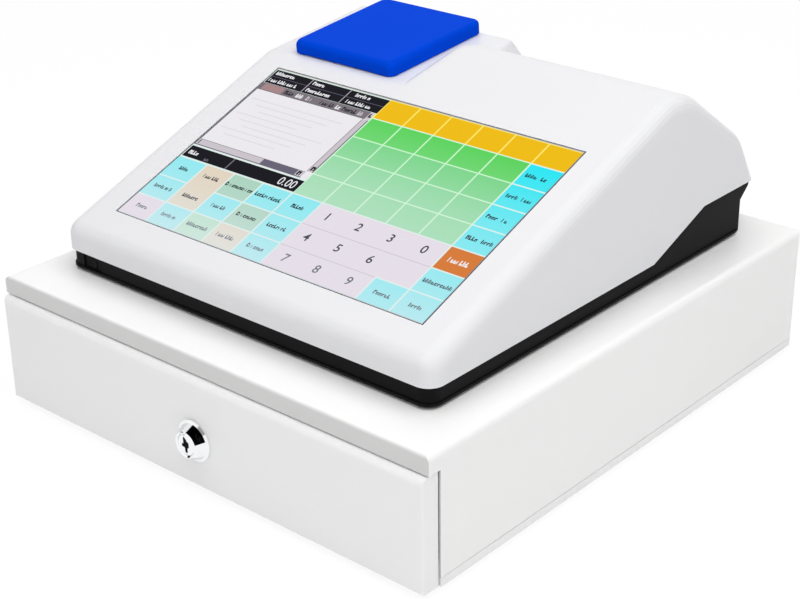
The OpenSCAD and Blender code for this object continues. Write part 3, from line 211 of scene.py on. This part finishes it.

# %% [markdown]
# ### Paint the solids
#
# The record gives each solid a material slot. Two solids differ from the
# rest of their slot: the coin insert is a duller black than the base, and
# the cover carries painted shade on its fold.

# %% A material for every slot
slot_material = {
    "white_steel": white_steel,
    "zinc_steel": zinc_steel,
    "lock_chrome": chrome,
    "white_plastic": white_plastic,
    "blue_plastic": blue_plastic,
    "black_plastic": black_plastic,
    "screen_glass": dark_glass,
    "window": dark_glass,
    "rubber": rubber,
    "nylon": nylon,
    "coil_winding": copper,
    "circuit_board": board,
    "paper": paper,
}
for part in frame["record"]["subparts"]:
    solid = frame["nodes"][part["node"]]
    solid.data.materials.clear()
    solid.data.materials.append(slot_material[part["material_slot"]])
frame["nodes"]["cash_insert"].data.materials[0] = insert_plastic
# the cover's material carries painted shade on its fold
frame["nodes"]["drawer_cover"].data.materials[0] = cover_coat_with_painted_shade

# %% [markdown]
# ## Faces to draw on
#
# Two plates carry a lit picture: the touch glass in front, and a small
# window in the back for the customer. Both are sloped. Writing their corners
# as numbers would tie the picture to one size, so `outer_face` reads the
# plane from the solid itself: its largest upward face, and the axes in it.

# %% Read a plate's outer face
def outer_face(node, right):
    """Top left corner, axes and size of the largest upward face of a plate."""
    data = frame["nodes"][node].data
    out = max((p for p in data.polygons if p.normal.z > 0.3), key=lambda p: p.area).normal.copy()
    down = right.cross(out)
    level = max(v.co.dot(out) for v in data.vertices)
    spots = [v.co for v in data.vertices if v.co.dot(out) > level - mm(0.1)]
    across = [c.dot(right) for c in spots]
    along = [c.dot(down) for c in spots]
    corner = right * min(across) + down * min(along) + out * level
    return corner, right, down, out, max(across) - min(across), max(along) - min(along)


# %% [markdown]
# The panel lies in the middle of the touch glass. Its picture is a table of
# ten columns and eight rows of keys, so places on it are written as a column
# and a row. Things that lie on each other are lifted by hundredths of a
# millimetre, which is too little to see but keeps their order.

# %% Columns and rows of the screen
SCREEN_W, SCREEN_H = mm(236.5), mm(148)
COLUMNS, ROWS = 10, 8
glass_corner, right_way, down_way, out_way, glass_w, glass_h = outer_face("touch_glass", Vector((1, 0, 0)))
corner = glass_corner + right_way * (glass_w - SCREEN_W) / 2 + down_way * (glass_h - SCREEN_H) / 2


def on_screen(col, row, lift=0.03):
    """Point on the screen at a column and a row, lifted off the glass by a part of a mm."""
    across = right_way * (col * SCREEN_W / COLUMNS)
    return corner + across + down_way * (row * SCREEN_H / ROWS) + out_way * mm(lift)


print("touch glass", round(glass_w * 1000, 1), "by", round(glass_h * 1000, 1), "mm")
print("its slope is", round(math.degrees(math.asin(-down_way.z)), 1), "degrees")

# %% [markdown]
# ## Colours of the picture
#
# The keys come in a few colours, written here as levels from 0 to 255 as a
# screen designer would. Over them lies painted glare: a reflection of the
# bright room, painted in as a pale tone that grows towards the front left.
# `ink_with_glare` mixes each ink with that pale tone, more with every row;
# dark letters and bars take less of it.

# %% Inks
INK = {
    "amber": (240, 189, 6),
    "amber_line": (255, 236, 110),
    "green": (70, 207, 70),
    "fern": (88, 206, 104),
    "leaf": (97, 207, 116),
    "moss": (80, 172, 110),
    "green_line": (196, 250, 196),
    "cyan": (10, 230, 244),
    "beige": (228, 172, 110),
    "orange": (215, 124, 58),
    "pad": (230, 223, 233),
    "list": (236, 234, 238),
    "faint": (226, 222, 228),
    "bar": (204, 196, 204),
    "line": (226, 244, 232),
    "seam": (196, 188, 202),
    "black": (15, 15, 25),
    "grey": (122, 114, 122),
    "blush": (168, 134, 136),
    "thumb": (104, 100, 118),
    "dark": (20, 22, 36),
    "figure": (36, 32, 46),
    "rim": (186, 186, 190),
    # painted shadow: the dark line in the gap on the right and at the bottom of the panel
    "edge": (128, 132, 138),
    "white": (244, 244, 248),
}
# tone and strength by row of the painted glare, a reflection painted into the colours
GLARE_TONE = (226, 236, 240)
GLARE_BY_ROW = (0.0, 0.13, 0.27, 0.42, 0.54, 0.61, 0.68, 0.76, 0.84)


print(len(INK), "inks")


# %% Painted glare towards the front
def linear(c):
    """Linear value of an sRGB level from 0 to 255."""
    c /= 255
    return c / 12.92 if c <= 0.04045 else ((c + 0.055) / 1.055) ** 2.4


def ink_with_glare(ink, col, row, glare_share):
    """Colour of an ink at a place on the screen, paled by painted glare towards the front left."""
    step = min(ROWS - 1, max(0, int(row)))
    share = min(1, max(0, row - step))
    glare_mix = GLARE_BY_ROW[step] + (GLARE_BY_ROW[step + 1] - GLARE_BY_ROW[step]) * share
    glare_mix = min(1, glare_share * glare_mix * (1.04 - 0.008 * col))
    return (*[linear(a + (b - a) * glare_mix) for a, b in zip(INK[ink], GLARE_TONE)], 1)


print("a cyan key in the first and in the last row:")
for row in (1.5, 7.5):
    print("  ", [round(c, 2) for c in ink_with_glare("cyan", 9, row, 1)])

# %% [markdown]
# The panel gives off its own light. Each face of the picture carries its
# colour as an attribute of its corners, and a single material reads that
# attribute and shines in it, so all the tones need only one material. A very
# fine noise stands for the mesh of the panel's dots.

# %% The lit panel
def lit_material():
    """The lit panel under its glass: gives off each face's own colour."""
    m = bpy.data.materials.new("lit_panel")
    m.use_nodes = True
    nodes, link = m.node_tree.nodes, m.node_tree.links.new
    shader = nodes["Principled BSDF"]
    shader.inputs["Base Color"].default_value = (0.004, 0.004, 0.004, 1)
    shader.inputs["Specular IOR Level"].default_value = 0.02
    ink = nodes.new("ShaderNodeAttribute")
    ink.attribute_name = "ink"
    # the faint mesh of the panel's dots
    place = nodes.new("ShaderNodeTexCoord")
    dots = nodes.new("ShaderNodeTexNoise")
    dots.inputs["Scale"].default_value = 900
    link(place.outputs["Object"], dots.inputs["Vector"])
    level = nodes.new("ShaderNodeMapRange")
    level.inputs["To Min"].default_value = 0.96
    level.inputs["To Max"].default_value = 1.02
    link(dots.outputs["Fac"], level.inputs["Value"])
    link(ink.outputs["Color"], shader.inputs["Emission Color"])
    link(level.outputs["Result"], shader.inputs["Emission Strength"])
    gloss = nodes.new("ShaderNodeMapRange")
    gloss.inputs["To Min"].default_value = 0.24
    gloss.inputs["To Max"].default_value = 0.30
    link(dots.outputs["Fac"], gloss.inputs["Value"])
    link(gloss.outputs["Result"], shader.inputs["Roughness"])
    return m


panel = lit_material()
print("panel material ready")

# %% [markdown]
# ## The picture
#
# A receipt list fills the upper left, a pad of numbers the lower middle, and
# keys the rest. Everything is flat rectangles, so `patch` fills one rectangle
# with an ink, `key` fills one cell of the table and leaves a thin line above
# and on its left, and `strokes` draws a key's name. Names aren't written
# out: a row of small marks stands where letters would be.

# %% Patches, keys and marks
picture = bmesh.new()
ink_layer = picture.loops.layers.float_color.new("ink")


def patch(c0, r0, c1, r1, ink, lift=0.03, glare_share=1.0):
    """Fills a rectangle of the screen with a colour."""
    spots = [(c0, r1), (c1, r1), (c1, r0), (c0, r0)]
    face = picture.faces.new([picture.verts.new(on_screen(c, r, lift)) for c, r in spots])
    for loop, (c, r) in zip(face.loops, spots):
        loop[ink_layer] = ink_with_glare(ink, c, r, glare_share)


def key(col, row, ink, glare_share=1.0):
    """One cell of the picture; a thin line shows above it and on its left."""
    patch(col + (0.045 if col else 0), row + 0.05, col + 1, row + 1, ink, 0.05, glare_share)


def strokes(col, row, count, ink="dark", size=0.17, wide=0.083, glare_share=0.35):
    """Small marks in place of a name: each is an upright with a short bar."""
    x = col - count * wide / 2
    for i in range(count):
        kind = (i * i * 3 + i * 5 + count * 7 + int(col * 13) + int(row * 29)) % 7
        h = size if i == 0 or kind in (1, 5) else size * 0.7
        y1 = row + size / 2
        y0 = y1 - h
        w = wide * (0.6 if kind == 3 else 0.86)
        patch(x, y0, x + w * 0.46, y1, ink, 0.07, glare_share)
        if kind in (0, 2, 6):
            patch(x + w * 0.46, y0, x + w, y0 + h * 0.4, ink, 0.07, glare_share)
        if kind in (1, 2, 4):
            patch(x + w * 0.46, y1 - h * 0.34, x + w, y1, ink, 0.07, glare_share)
        if kind in (0, 4, 5):
            patch(x + w * 0.68, y0 + h * 0.3, x + w, y1, ink, 0.07, glare_share)
        x += wide


print("drawing tools ready")

# %% [markdown]
# The lines between keys are the backgrounds behind them: a pale one under
# the whole picture, a yellow one under the first row and a light green one
# under the green keys. Above them lie six amber keys, five by four green
# ones that grow paler downwards, partly in their inks and partly from the
# painted glare, and the right-hand column.

# %% Backgrounds and the upper right keys
patch(0, 0, 10, 8, "line", 0.02, 0.8)
patch(4, 0, 10, 1, "amber_line", 0.025, 0)
patch(4, 1.02, 9.02, 5, "green_line", 0.025, 0.8)

for col in range(4, 10):
    key(col, 0, "amber", 0)
for col in range(4, 9):
    for row, ink in ((1, "green"), (2, "fern"), (3, "leaf"), (4, "leaf")):
        key(col, row, ink)
for row, marks in ((1, (4, 2)), (2, (4, 4)), (3, (4, 2)), (4, (4, 4))):
    key(9, row, "cyan")
    strokes(9.32, row + 0.53, marks[0])
    strokes(9.6 + marks[1] * 0.04, row + 0.53, marks[1])
key(9, 5, "orange", 0)
strokes(9.53, 5.53, 7, "white", 0.2, glare_share=0)
key(9, 6, "cyan")
strokes(9.53, 6.53, 10, size=0.16, glare_share=0.5)
key(9, 7, "cyan")
strokes(9.53, 7.53, 5, size=0.16, glare_share=0.6)
key(8, 7, "cyan", 0.95)
strokes(8.53, 7.53, 6, size=0.16, glare_share=0.6)

print(len(picture.faces), "patches so far")

# %% [markdown]
# Three rows of keys in five columns lie under the receipt list, in four
# colours. Two beige keys run into each other, so a patch hides their line.

# %% Keys under the list
rows = [
    ["cyan", "beige", "moss", "cyan", "cyan"],
    ["cyan", "beige", "cyan", "moss", "cyan"],
    ["pad", "cyan", "leaf", "beige", "cyan"],
]
names = [[4, 7, 12, 11, 5], [8, 7, 6, 9, 8], [5, 7, 9, 8, 7]]
for r, inks in enumerate(rows):
    for c, ink in enumerate(inks):
        key(c, 5 + r, ink, 0 if ink == "pad" else 1)
        strokes(c + 0.52, 5.5 + r, names[r][c], glare_share=(0.1, 0.35, 0.65)[r], wide=0.078)
patch(1.045, 5.9, 2, 6.1, "beige", 0.045)

print(len(picture.faces), "patches so far")

# %% [markdown]
# The number pad is one pale field with two thin seams; its figures follow
# further down.

# %% Number pad
patch(5.03, 5.04, 9, 7.0, "pad", 0.04, 0)
patch(5.03, 7.0, 8, 8, "pad", 0.04, 0)
for row in (6.03, 7.04):
    patch(5.03, row - 0.012, 9 if row < 7 else 8, row + 0.012, "seam", 0.045, 0.2)

print(len(picture.faces), "patches so far")

# %% [markdown]
# The receipt list has two dark lines of marks on top, a grey strip for the
# column heads, the list itself with a scroll bar on the right and one below,
# and the dark line of the total.

# %% Head of the receipt list
patch(0.02, 0.06, 4.02, 0.78, "black", 0.05, 0)
patch(0.02, 0.405, 4.02, 0.425, "thumb", 0.06, 0)
for c in (1.35, 2.7):
    patch(c - 0.012, 0.08, c + 0.012, 0.76, "seam", 0.06, 0)
head_marks = [
    (0.1, 0.22, 8), (1.44, 0.22, 5), (2.95, 0.22, 6),
    (0.08, 0.6, 12), (1.44, 0.6, 10), (2.86, 0.6, 10),
]
for c, r, n in head_marks:
    strokes(c + n * 0.042, r, n, "white", 0.17, 0.084, 0)
patch(0.04, 0.79, 3.84, 1.17, "grey", 0.05, 0)
patch(0.12, 0.82, 0.84, 1.13, "blush", 0.06, 0)
strip_marks = [
    (0.92, 4, "dark"), (1.34, 3, "white"), (1.7, 3, "bar"), (2.2, 6, "dark"),
    (2.75, 2, "white"), (2.98, 6, "dark"), (3.52, 2, "bar"),
]
for c, n, ink in strip_marks:
    strokes(c + n * 0.04, 0.98, n, ink, 0.2, 0.08, 0)
patch(3.84, 0.8, 3.99, 1.16, "bar", 0.06, 0)
strokes(3.93, 0.95, 1, "black", 0.2, 0.12, 0)
print(len(picture.faces), "patches so far")

# %% List, scroll bars and total line
patch(0.04, 1.17, 4.0, 4.36, "list", 0.04, 0)
patch(0.005, 0.8, 0.04, 4.34, "thumb", 0.05, 0)
for i in range(8):
    y = 1.62 + i * 0.27
    patch(0.2 + (i % 3) * 0.3, y, 3.4 - (i % 4) * 0.35, y + 0.05, "faint", 0.045, 0)
patch(3.8, 1.18, 4.0, 4.0, "bar", 0.05, 0)
patch(3.79, 1.18, 3.81, 4.0, "grey", 0.06, 0)
patch(3.965, 1.18, 4.0, 4.0, "thumb", 0.06, 0)
strokes(3.91, 3.84, 1, "black", 0.2, 0.14, 0)
patch(0.06, 4.05, 3.79, 4.31, "bar", 0.05, 0)
patch(0.06, 4.04, 3.79, 4.06, "grey", 0.06, 0)
patch(2.36, 4.06, 3.56, 4.31, "thumb", 0.06, 0)
strokes(0.14, 4.18, 1, "black", 0.2, 0.12, 0)
strokes(3.66, 4.18, 1, "black", 0.2, 0.14, 0)
patch(0.01, 4.31, 3.8, 4.35, "thumb", 0.06, 0)
patch(0.03, 4.43, 4.02, 4.98, "black", 0.05, 0)
patch(1.58, 4.45, 1.62, 4.97, "grey", 0.06, 0)
strokes(0.3, 4.73, 4, "white", 0.18, 0.084, 0)
strokes(0.85, 4.86, 2, "thumb", 0.12, 0.084, 0)

print(len(picture.faces), "patches so far")

# %% [markdown]
# A thin line closes the panel at its edges: a pale one at the top, where
# the inner wall of the opening shows, and grey ones on the right and at the
# bottom, which are painted shadow in the gap there. Then the picture is done
# and becomes one piece that rides on the case.

# %% Edge of the panel, with painted shadow on the right and at the bottom
patch(0, -0.02, 10, 0.02, "rim", 0.06, 0)
# painted shadow in the gap on the right and at the bottom
patch(9.99, 0, 10.015, 8.03, "edge", 0.06, 0)
patch(0, 7.99, 10, 8.02, "edge", 0.06, 0.8)
picture_piece = finish_piece("screen_picture", picture, [panel], "case")
print("screen picture:", len(picture_piece.data.polygons), "faces")

# %% [markdown]
# ## Figures
#
# Ten figures stand on the pad, and the total is shown under the list. Their
# curves would be tedious to draw with patches, so each is a text object that
# Blender fills, turned into a mesh and laid on the plate's plane. The text
# object is only a means and is removed again.

# %% Write a figure on a plane
def write(text, at, right, down, height, colour, squeeze=1.0, weight=0.012):
    """A mesh of a short text with its middle at a point, in the plane of two axes."""
    curve = bpy.data.curves.new("figure", "FONT")
    curve.body = text
    curve.align_x = "CENTER"
    curve.align_y = "CENTER"
    curve.size = height
    curve.resolution_u = 4
    curve.offset = height * weight
    holder = bpy.data.objects.new("figure", curve)
    bpy.context.collection.objects.link(holder)
    bpy.context.view_layer.update()
    mesh = bpy.data.meshes.new_from_object(holder.evaluated_get(bpy.context.evaluated_depsgraph_get()))
    bpy.data.objects.remove(holder)
    for v in mesh.vertices:
        v.co = at + right * v.co.x * squeeze - down * v.co.y
    layer = mesh.color_attributes.new("ink", "FLOAT_COLOR", "CORNER")
    for spot in layer.data:
        spot.color = colour
    mesh.materials.clear()
    mesh.materials.append(panel)
    return mesh


def merge(meshes, name, body):
    """Joins meshes that share a material into one piece."""
    bm = bmesh.new()
    for mesh in meshes:
        bm.from_mesh(mesh)
    return finish_piece(name, bm, meshes[0].materials, body)


print("figures can be written")

# %% Figures of the pad and the total
PAD_ROWS = {5: "1230", 6: "456", 7: "789"}
PAD_COLUMN = 5
PAD_HEIGHT, TOTAL_HEIGHT = mm(8.6), mm(9.4)
FIGURE_LIFT = 0.08
figures = []
for row, texts in PAD_ROWS.items():
    for col, text in enumerate(texts, PAD_COLUMN):
        colour = ink_with_glare("figure", col, row, 0.3 if row < 7 else 0.6)
        at = on_screen(col + 0.5, row + 0.5, FIGURE_LIFT)
        figures.append(write(text, at, right_way, down_way, PAD_HEIGHT, colour))
merge(figures, "pad_figures", "case")
at = on_screen(3.62, 4.72, FIGURE_LIFT)
total = write("0.00", at, right_way, down_way, TOTAL_HEIGHT, ink_with_glare("white", 0, 0, 0), 0.85, 0)
merge([total], "total_figures", "case")
print(len(figures), "figures on the pad")

# %% [markdown]
# The window in the back shows the customer the same amount, in the green of
# a small lit display. It is read from behind, so its right is -X.

# %% The customer's amount
AMOUNT_HEIGHT = mm(15)
AMOUNT_GREEN = (0.35, 0.95, 0.60, 1)
w_corner, w_right, w_down, w_out, window_w, window_h = outer_face("customer_window", Vector((-1, 0, 0)))
middle = w_corner + w_right * window_w / 2 + w_down * window_h / 2 + w_out * mm(0.03)
at = middle + w_right * window_w * 0.26
amount = write("0.00", at, w_right, w_down, AMOUNT_HEIGHT, AMOUNT_GREEN, 0.9)
merge([amount], "customer_figures", "case")
print("customer window", round(window_w * 1000, 1), "by", round(window_h * 1000, 1), "mm")

# %% [markdown]
# ## Small parts in the lock and the sockets
#
# A lock's keyway is a narrow, crooked slot so deep that it looks black. The
# solid has a plain slot; a thin dark plate with the crooked outline closes
# its mouth as a painted shadow, standing for the shade deep inside. A few
# corner points give the outline, and one extrusion its thickness. It rides
# on the key lock, so it turns with it.

# %% Limits of a solid, and a small bar
def limits(node):
    """Lowest and highest corner of a solid."""
    points = [v.co for v in frame["nodes"][node].data.vertices]
    return [Vector(pick(p[i] for p in points) for i in range(3)) for pick in (min, max)]


def add_bar(bm, middle, size, tilt=0.0):
    """Adds a box of a size round a point, tilted about X."""
    place = Matrix.Translation(middle) @ Matrix.Rotation(tilt, 4, "X") @ Matrix.Diagonal((*size, 1))
    bmesh.ops.create_cube(bm, size=1, matrix=place)


bezel_low, bezel_high = limits("lock_bezel")
plug_face = limits("lock_cylinder")[0].y
lock_z = (bezel_low.z + bezel_high.z) / 2
print("lock", round((bezel_high.z - bezel_low.z) * 1000, 1), "mm wide")

# %% Painted shadow in the mouth of the keyway
MOUTH = [
    (-1.9, 4.6), (-1.9, 1.2), (-1.0, 0.6), (-3.0, 0.4), (-3.0, -1.5), (-0.8, -1.8), (-0.5, -4.7),
    (1.2, -4.7), (1.4, -1.7), (2.5, -0.9), (2.4, 1.9), (0.7, 2.6), (-0.7, 4.6),
]
PLATE_DEPTH, PLATE_PROUD = mm(0.3), mm(0.02)
# painted shadow: a dark plate stands for the shade deep in the keyway
keyway = surface(
    "keyway_shadow", (0.004, 0.004, 0.004), 0.7, grain=0.01, grain_size=0.4, mottle=0.1, shine=0.05
)
mouth = bmesh.new()
corners = [mouth.verts.new((mm(x), plug_face + PLATE_DEPTH, lock_z + mm(z))) for x, z in MOUTH]
inner = mouth.faces.new(corners)
grown = bmesh.ops.extrude_face_region(mouth, geom=[inner], use_keep_orig=True)["geom"]
front = [v for v in grown if isinstance(v, bmesh.types.BMVert)]
bmesh.ops.translate(mouth, verts=front, vec=(0, -(PLATE_DEPTH + PLATE_PROUD), 0))
bmesh.ops.recalc_face_normals(mouth, faces=mouth.faces)
shadow_plate_piece = finish_piece("keyway_painted_shadow", mouth, [keyway], "key_lock")
print("keyway mouth:", len(shadow_plate_piece.data.polygons), "faces")

# %% [markdown]
# Each of the two upper sockets holds a plastic tongue with four flat gold
# contacts under it. Plain bars are enough at this size.

# %% Tongues and contacts of the upper sockets
TONGUE, CONTACT = mm(10.8, 7.4, 1.8), mm(1.0, 5.4, 0.12)
TONGUE_BACK, CONTACT_BACK = mm(5.5), mm(5.3)
UNDERSIDES = (3.6, 10.6)
CONTACT_X = (-3.5, -1.0, 1.0, 3.5)
low, high = limits("usb_ports")
middle_x = (low.x + high.x) / 2
tongues, contacts = bmesh.new(), bmesh.new()
for height in UNDERSIDES:
    z = low.z + mm(height)
    add_bar(tongues, Vector((middle_x, high.y - TONGUE_BACK, z + TONGUE.z / 2)), TONGUE)
    for x in CONTACT_X:
        place = Vector((middle_x + mm(x), high.y - CONTACT_BACK, z - CONTACT.z / 2))
        add_bar(contacts, place, CONTACT)
finish_piece("socket_tongues", tongues, [nylon], "case")
finish_piece("socket_contacts", contacts, [gold], "case")
print("2 tongues with 8 contacts")

# %% [markdown]
# The two plug sockets have a row of thin spring wires that slope down into
# the opening: eight for the network, six for the drawer.

# %% Spring wires of the plug sockets
PITCH, RUN, FALL = mm(1.02), mm(5.9), mm(3.2)
WIRE_WIDE, WIRE_THICK = mm(0.4), mm(0.35)
BEHIND_MOUTH, UNDER_TOP = mm(1.6), mm(1.7)
slope, reach = math.atan2(FALL, RUN), math.hypot(RUN, FALL)
wires = bmesh.new()
for node, count in (("network_socket", 8), ("drawer_socket", 6)):
    low, high = limits(node)
    for i in range(count):
        x = (low.x + high.x) / 2 + (i - (count - 1) / 2) * PITCH
        middle = Vector((x, high.y - BEHIND_MOUTH - RUN / 2, high.z - UNDER_TOP - FALL / 2))
        add_bar(wires, middle, (WIRE_WIDE, reach, WIRE_THICK), slope)
finish_piece("socket_wires", wires, [gold], "case")
print("14 spring wires")

# %% [markdown]
# ## Camera
#
# It stands in front and to the right of the object, a little under a metre
# and a quarter away, and looks down at it. A long lens keeps the upright
# edges nearly parallel. The rotation is built from three directions instead
# of angles, so each step can be followed: back, side and up, turned by a
# small roll.

# %% Camera
CAMERA_AT = mm(632.46, -724.98, 513.87)
LENS_MM, SENSOR_MM = 78.17, 36
azimuth, elevation, roll = math.radians(41.341), math.radians(25.602), math.radians(-0.79)
level = math.cos(elevation)
back = Vector((math.sin(azimuth) * level, -math.cos(azimuth) * level, math.sin(elevation)))
side = (-back).cross(Vector((0, 0, 1))).normalized()
up = side.cross(-back)
side_rolled = side * math.cos(roll) + up * math.sin(roll)
up_rolled = up * math.cos(roll) - side * math.sin(roll)

camera_data = bpy.data.cameras.new("camera")
camera_data.sensor_width = SENSOR_MM
camera_data.lens = LENS_MM
camera_data.clip_start = 0.05
camera = bpy.data.objects.new("camera", camera_data)
bpy.context.collection.objects.link(camera)
camera.matrix_world = Matrix.Translation(CAMERA_AT) @ Matrix(
    (side_rolled, up_rolled, back)
).transposed().to_4x4()
bpy.context.scene.camera = camera
print("camera at", [round(c, 3) for c in camera.location])

# %% [markdown]
# ## Floor and light
#
# The object stands in a white studio. If the lamps had to make the floor and
# the walls white, they would burn out the white steel too. So what is seen
# directly, also in metal and through glass, gets its white from the material
# and the world, while the lamps only light the object. Blender's light paths
# tell the two apart.

# %% What the camera sees
def seen_directly(tree):
    """Node value that is 1 for what the camera sees, also in metal and through glass."""
    rays = tree.nodes.new("ShaderNodeLightPath")
    seen = rays.outputs["Is Camera Ray"]
    for kind in ("Is Glossy Ray", "Is Transmission Ray"):
        either = tree.nodes.new("ShaderNodeMath")
        either.operation = "MAXIMUM"
        tree.links.new(seen, either.inputs[0])
        tree.links.new(rays.outputs[kind], either.inputs[1])
        seen = either.outputs["Value"]
    return seen


print("light paths ready")

# %% [markdown]
# The floor is a large white square. Most of what the camera sees of it is
# its own white; the rest is ordinary shading, which keeps the soft shadow
# under the drawer.

# %% Floor
FLOOR_HALF = 4.0
OWN_WHITE = 0.86
WHITE = 1.03

floor_bm = bmesh.new()
bmesh.ops.create_grid(floor_bm, x_segments=1, y_segments=1, size=FLOOR_HALF)
floor_material = surface("floor", (0.92, 0.92, 0.92), 0.6, grain=0.0, grain_size=5, mottle=0.002)
tree = floor_material.node_tree
shown = tree.nodes.new("ShaderNodeEmission")
shown.inputs["Strength"].default_value = WHITE
seen = seen_directly(tree)
share = tree.nodes.new("ShaderNodeMapRange")
share.inputs["To Min"].default_value = 0.0
share.inputs["To Max"].default_value = OWN_WHITE
blend = tree.nodes.new("ShaderNodeMixShader")
out = tree.nodes["Material Output"]
tree.links.new(seen, share.inputs["Value"])
tree.links.new(share.outputs["Result"], blend.inputs["Fac"])
tree.links.new(tree.nodes["Principled BSDF"].outputs["BSDF"], blend.inputs[1])
tree.links.new(shown.outputs["Emission"], blend.inputs[2])
tree.links.new(blend.outputs["Shader"], out.inputs["Surface"])
floor_mesh = bpy.data.meshes.new("floor")
floor_bm.to_mesh(floor_mesh)
floor_bm.free()
floor_mesh.materials.append(floor_material)
floor = bpy.data.objects.new("floor", floor_mesh)
bpy.context.collection.objects.link(floor)
print("floor", floor.dimensions.x, "m wide")

# %% [markdown]
# The world gives an even, weak light from all sides. Seen directly it is
# white. Polished chrome in a white room has no shape, so reflections also
# meet a black band and a few grey ones that span the room from side to side,
# like the cards that a studio hangs up. They give the lock its facets. The
# bands are written along one axis, from the front at -1 to the back at 1,
# and a colour ramp turns that list into a value.

# %% World
SKY = 0.21
BANDS = [
    (-1.0, 0.35), (-0.94, 0.35), (-0.9, 1.0), (-0.43, 1.0), (-0.41, 0.0), (-0.17, 0.0), (-0.15, 0.9),
    (0.1, 0.9), (0.14, 0.35), (0.28, 0.35), (0.32, 1.0), (0.5, 1.0), (0.53, 0.5), (0.6, 0.5), (0.63, 1.0),
]

world = bpy.data.worlds.new("studio")
bpy.context.scene.world = world
world.use_nodes = True
w_nodes, w_link = world.node_tree.nodes, world.node_tree.links.new
w_nodes.clear()


def combine(operation, a, b):
    """Node that joins two values, which are sockets or plain numbers."""
    node = w_nodes.new("ShaderNodeMath")
    node.operation = operation
    for slot, value in zip(node.inputs, (a, b)):
        if isinstance(value, float):
            slot.default_value = value
        else:
            w_link(value, slot)
    return node.outputs["Value"]


direction = w_nodes.new("ShaderNodeTexCoord")
towards_back = w_nodes.new("ShaderNodeVectorMath")
towards_back.operation = "DOT_PRODUCT"
towards_back.inputs[1].default_value = (0, 1, 0)
w_link(direction.outputs["Generated"], towards_back.inputs[0])
ramp = w_nodes.new("ShaderNodeValToRGB")
w_link(combine("MULTIPLY", combine("ADD", towards_back.outputs["Value"], 1.0), 0.5), ramp.inputs["Fac"])
stops = ramp.color_ramp.elements
stops.remove(stops[1])
for i, (place, level) in enumerate(BANDS):
    stop = stops[0] if i == 0 else stops.new((place + 1) / 2)
    stop.position = (place + 1) / 2
    stop.color = (level, level, level, 1)
rays = w_nodes.new("ShaderNodeLightPath")
darkness = combine("SUBTRACT", 1.0, ramp.outputs["Color"])
masked = combine("MULTIPLY", darkness, rays.outputs["Is Glossy Ray"])
sky = w_nodes.new("ShaderNodeBackground")
sky.inputs["Color"].default_value = (1, 1, 1, 1)
sky.inputs["Strength"].default_value = SKY
plain = w_nodes.new("ShaderNodeBackground")
plain.inputs["Color"].default_value = (1, 1, 1, 1)
w_link(combine("MULTIPLY", combine("SUBTRACT", 1.0, masked), WHITE), plain.inputs["Strength"])
either = w_nodes.new("ShaderNodeMixShader")
w_link(seen_directly(world.node_tree), either.inputs["Fac"])
w_link(sky.outputs["Background"], either.inputs[1])
w_link(plain.outputs["Background"], either.inputs[2])
w_out = w_nodes.new("ShaderNodeOutputWorld")
w_link(either.outputs["Shader"], w_out.inputs["Surface"])
print("world set, sky", SKY)

# %% [markdown]
# Four large square lamps shape the object: one overhead for the faces that
# look up, one on the right for the sides, one in front, and a faint one at
# the left rear for views from behind. Large lamps close by give soft
# shadows. They aren't seen in reflections, where the white room stands in.

# %% Lamps
AIM = Vector((0, 0, 0.08))


def lamp(name, at, size, power):
    """A square soft lamp that looks at the object."""
    data = bpy.data.lights.new(name, "AREA")
    data.shape = "SQUARE"
    data.size = size
    data.energy = power
    obj = bpy.data.objects.new(name, data)
    bpy.context.collection.objects.link(obj)
    obj.location = at
    obj.rotation_mode = "QUATERNION"
    obj.rotation_quaternion = (AIM - at).to_track_quat("-Z", "Y")
    obj.visible_glossy = False


lamp("overhead_lamp", Vector((0, 0, 1.9)), 2.2, 21.9)
lamp("right_lamp", Vector((1.1, -0.1, 1.3)), 1.4, 9.6)
lamp("front_lamp", Vector((0.3, -1.3, 1.2)), 1.4, 9.2)
lamp("rear_lamp", Vector((-1.1, 1.1, 1.0)), 1.2, 2.5)
bpy.context.scene.view_settings.view_transform = "Standard"
print("4 lamps")
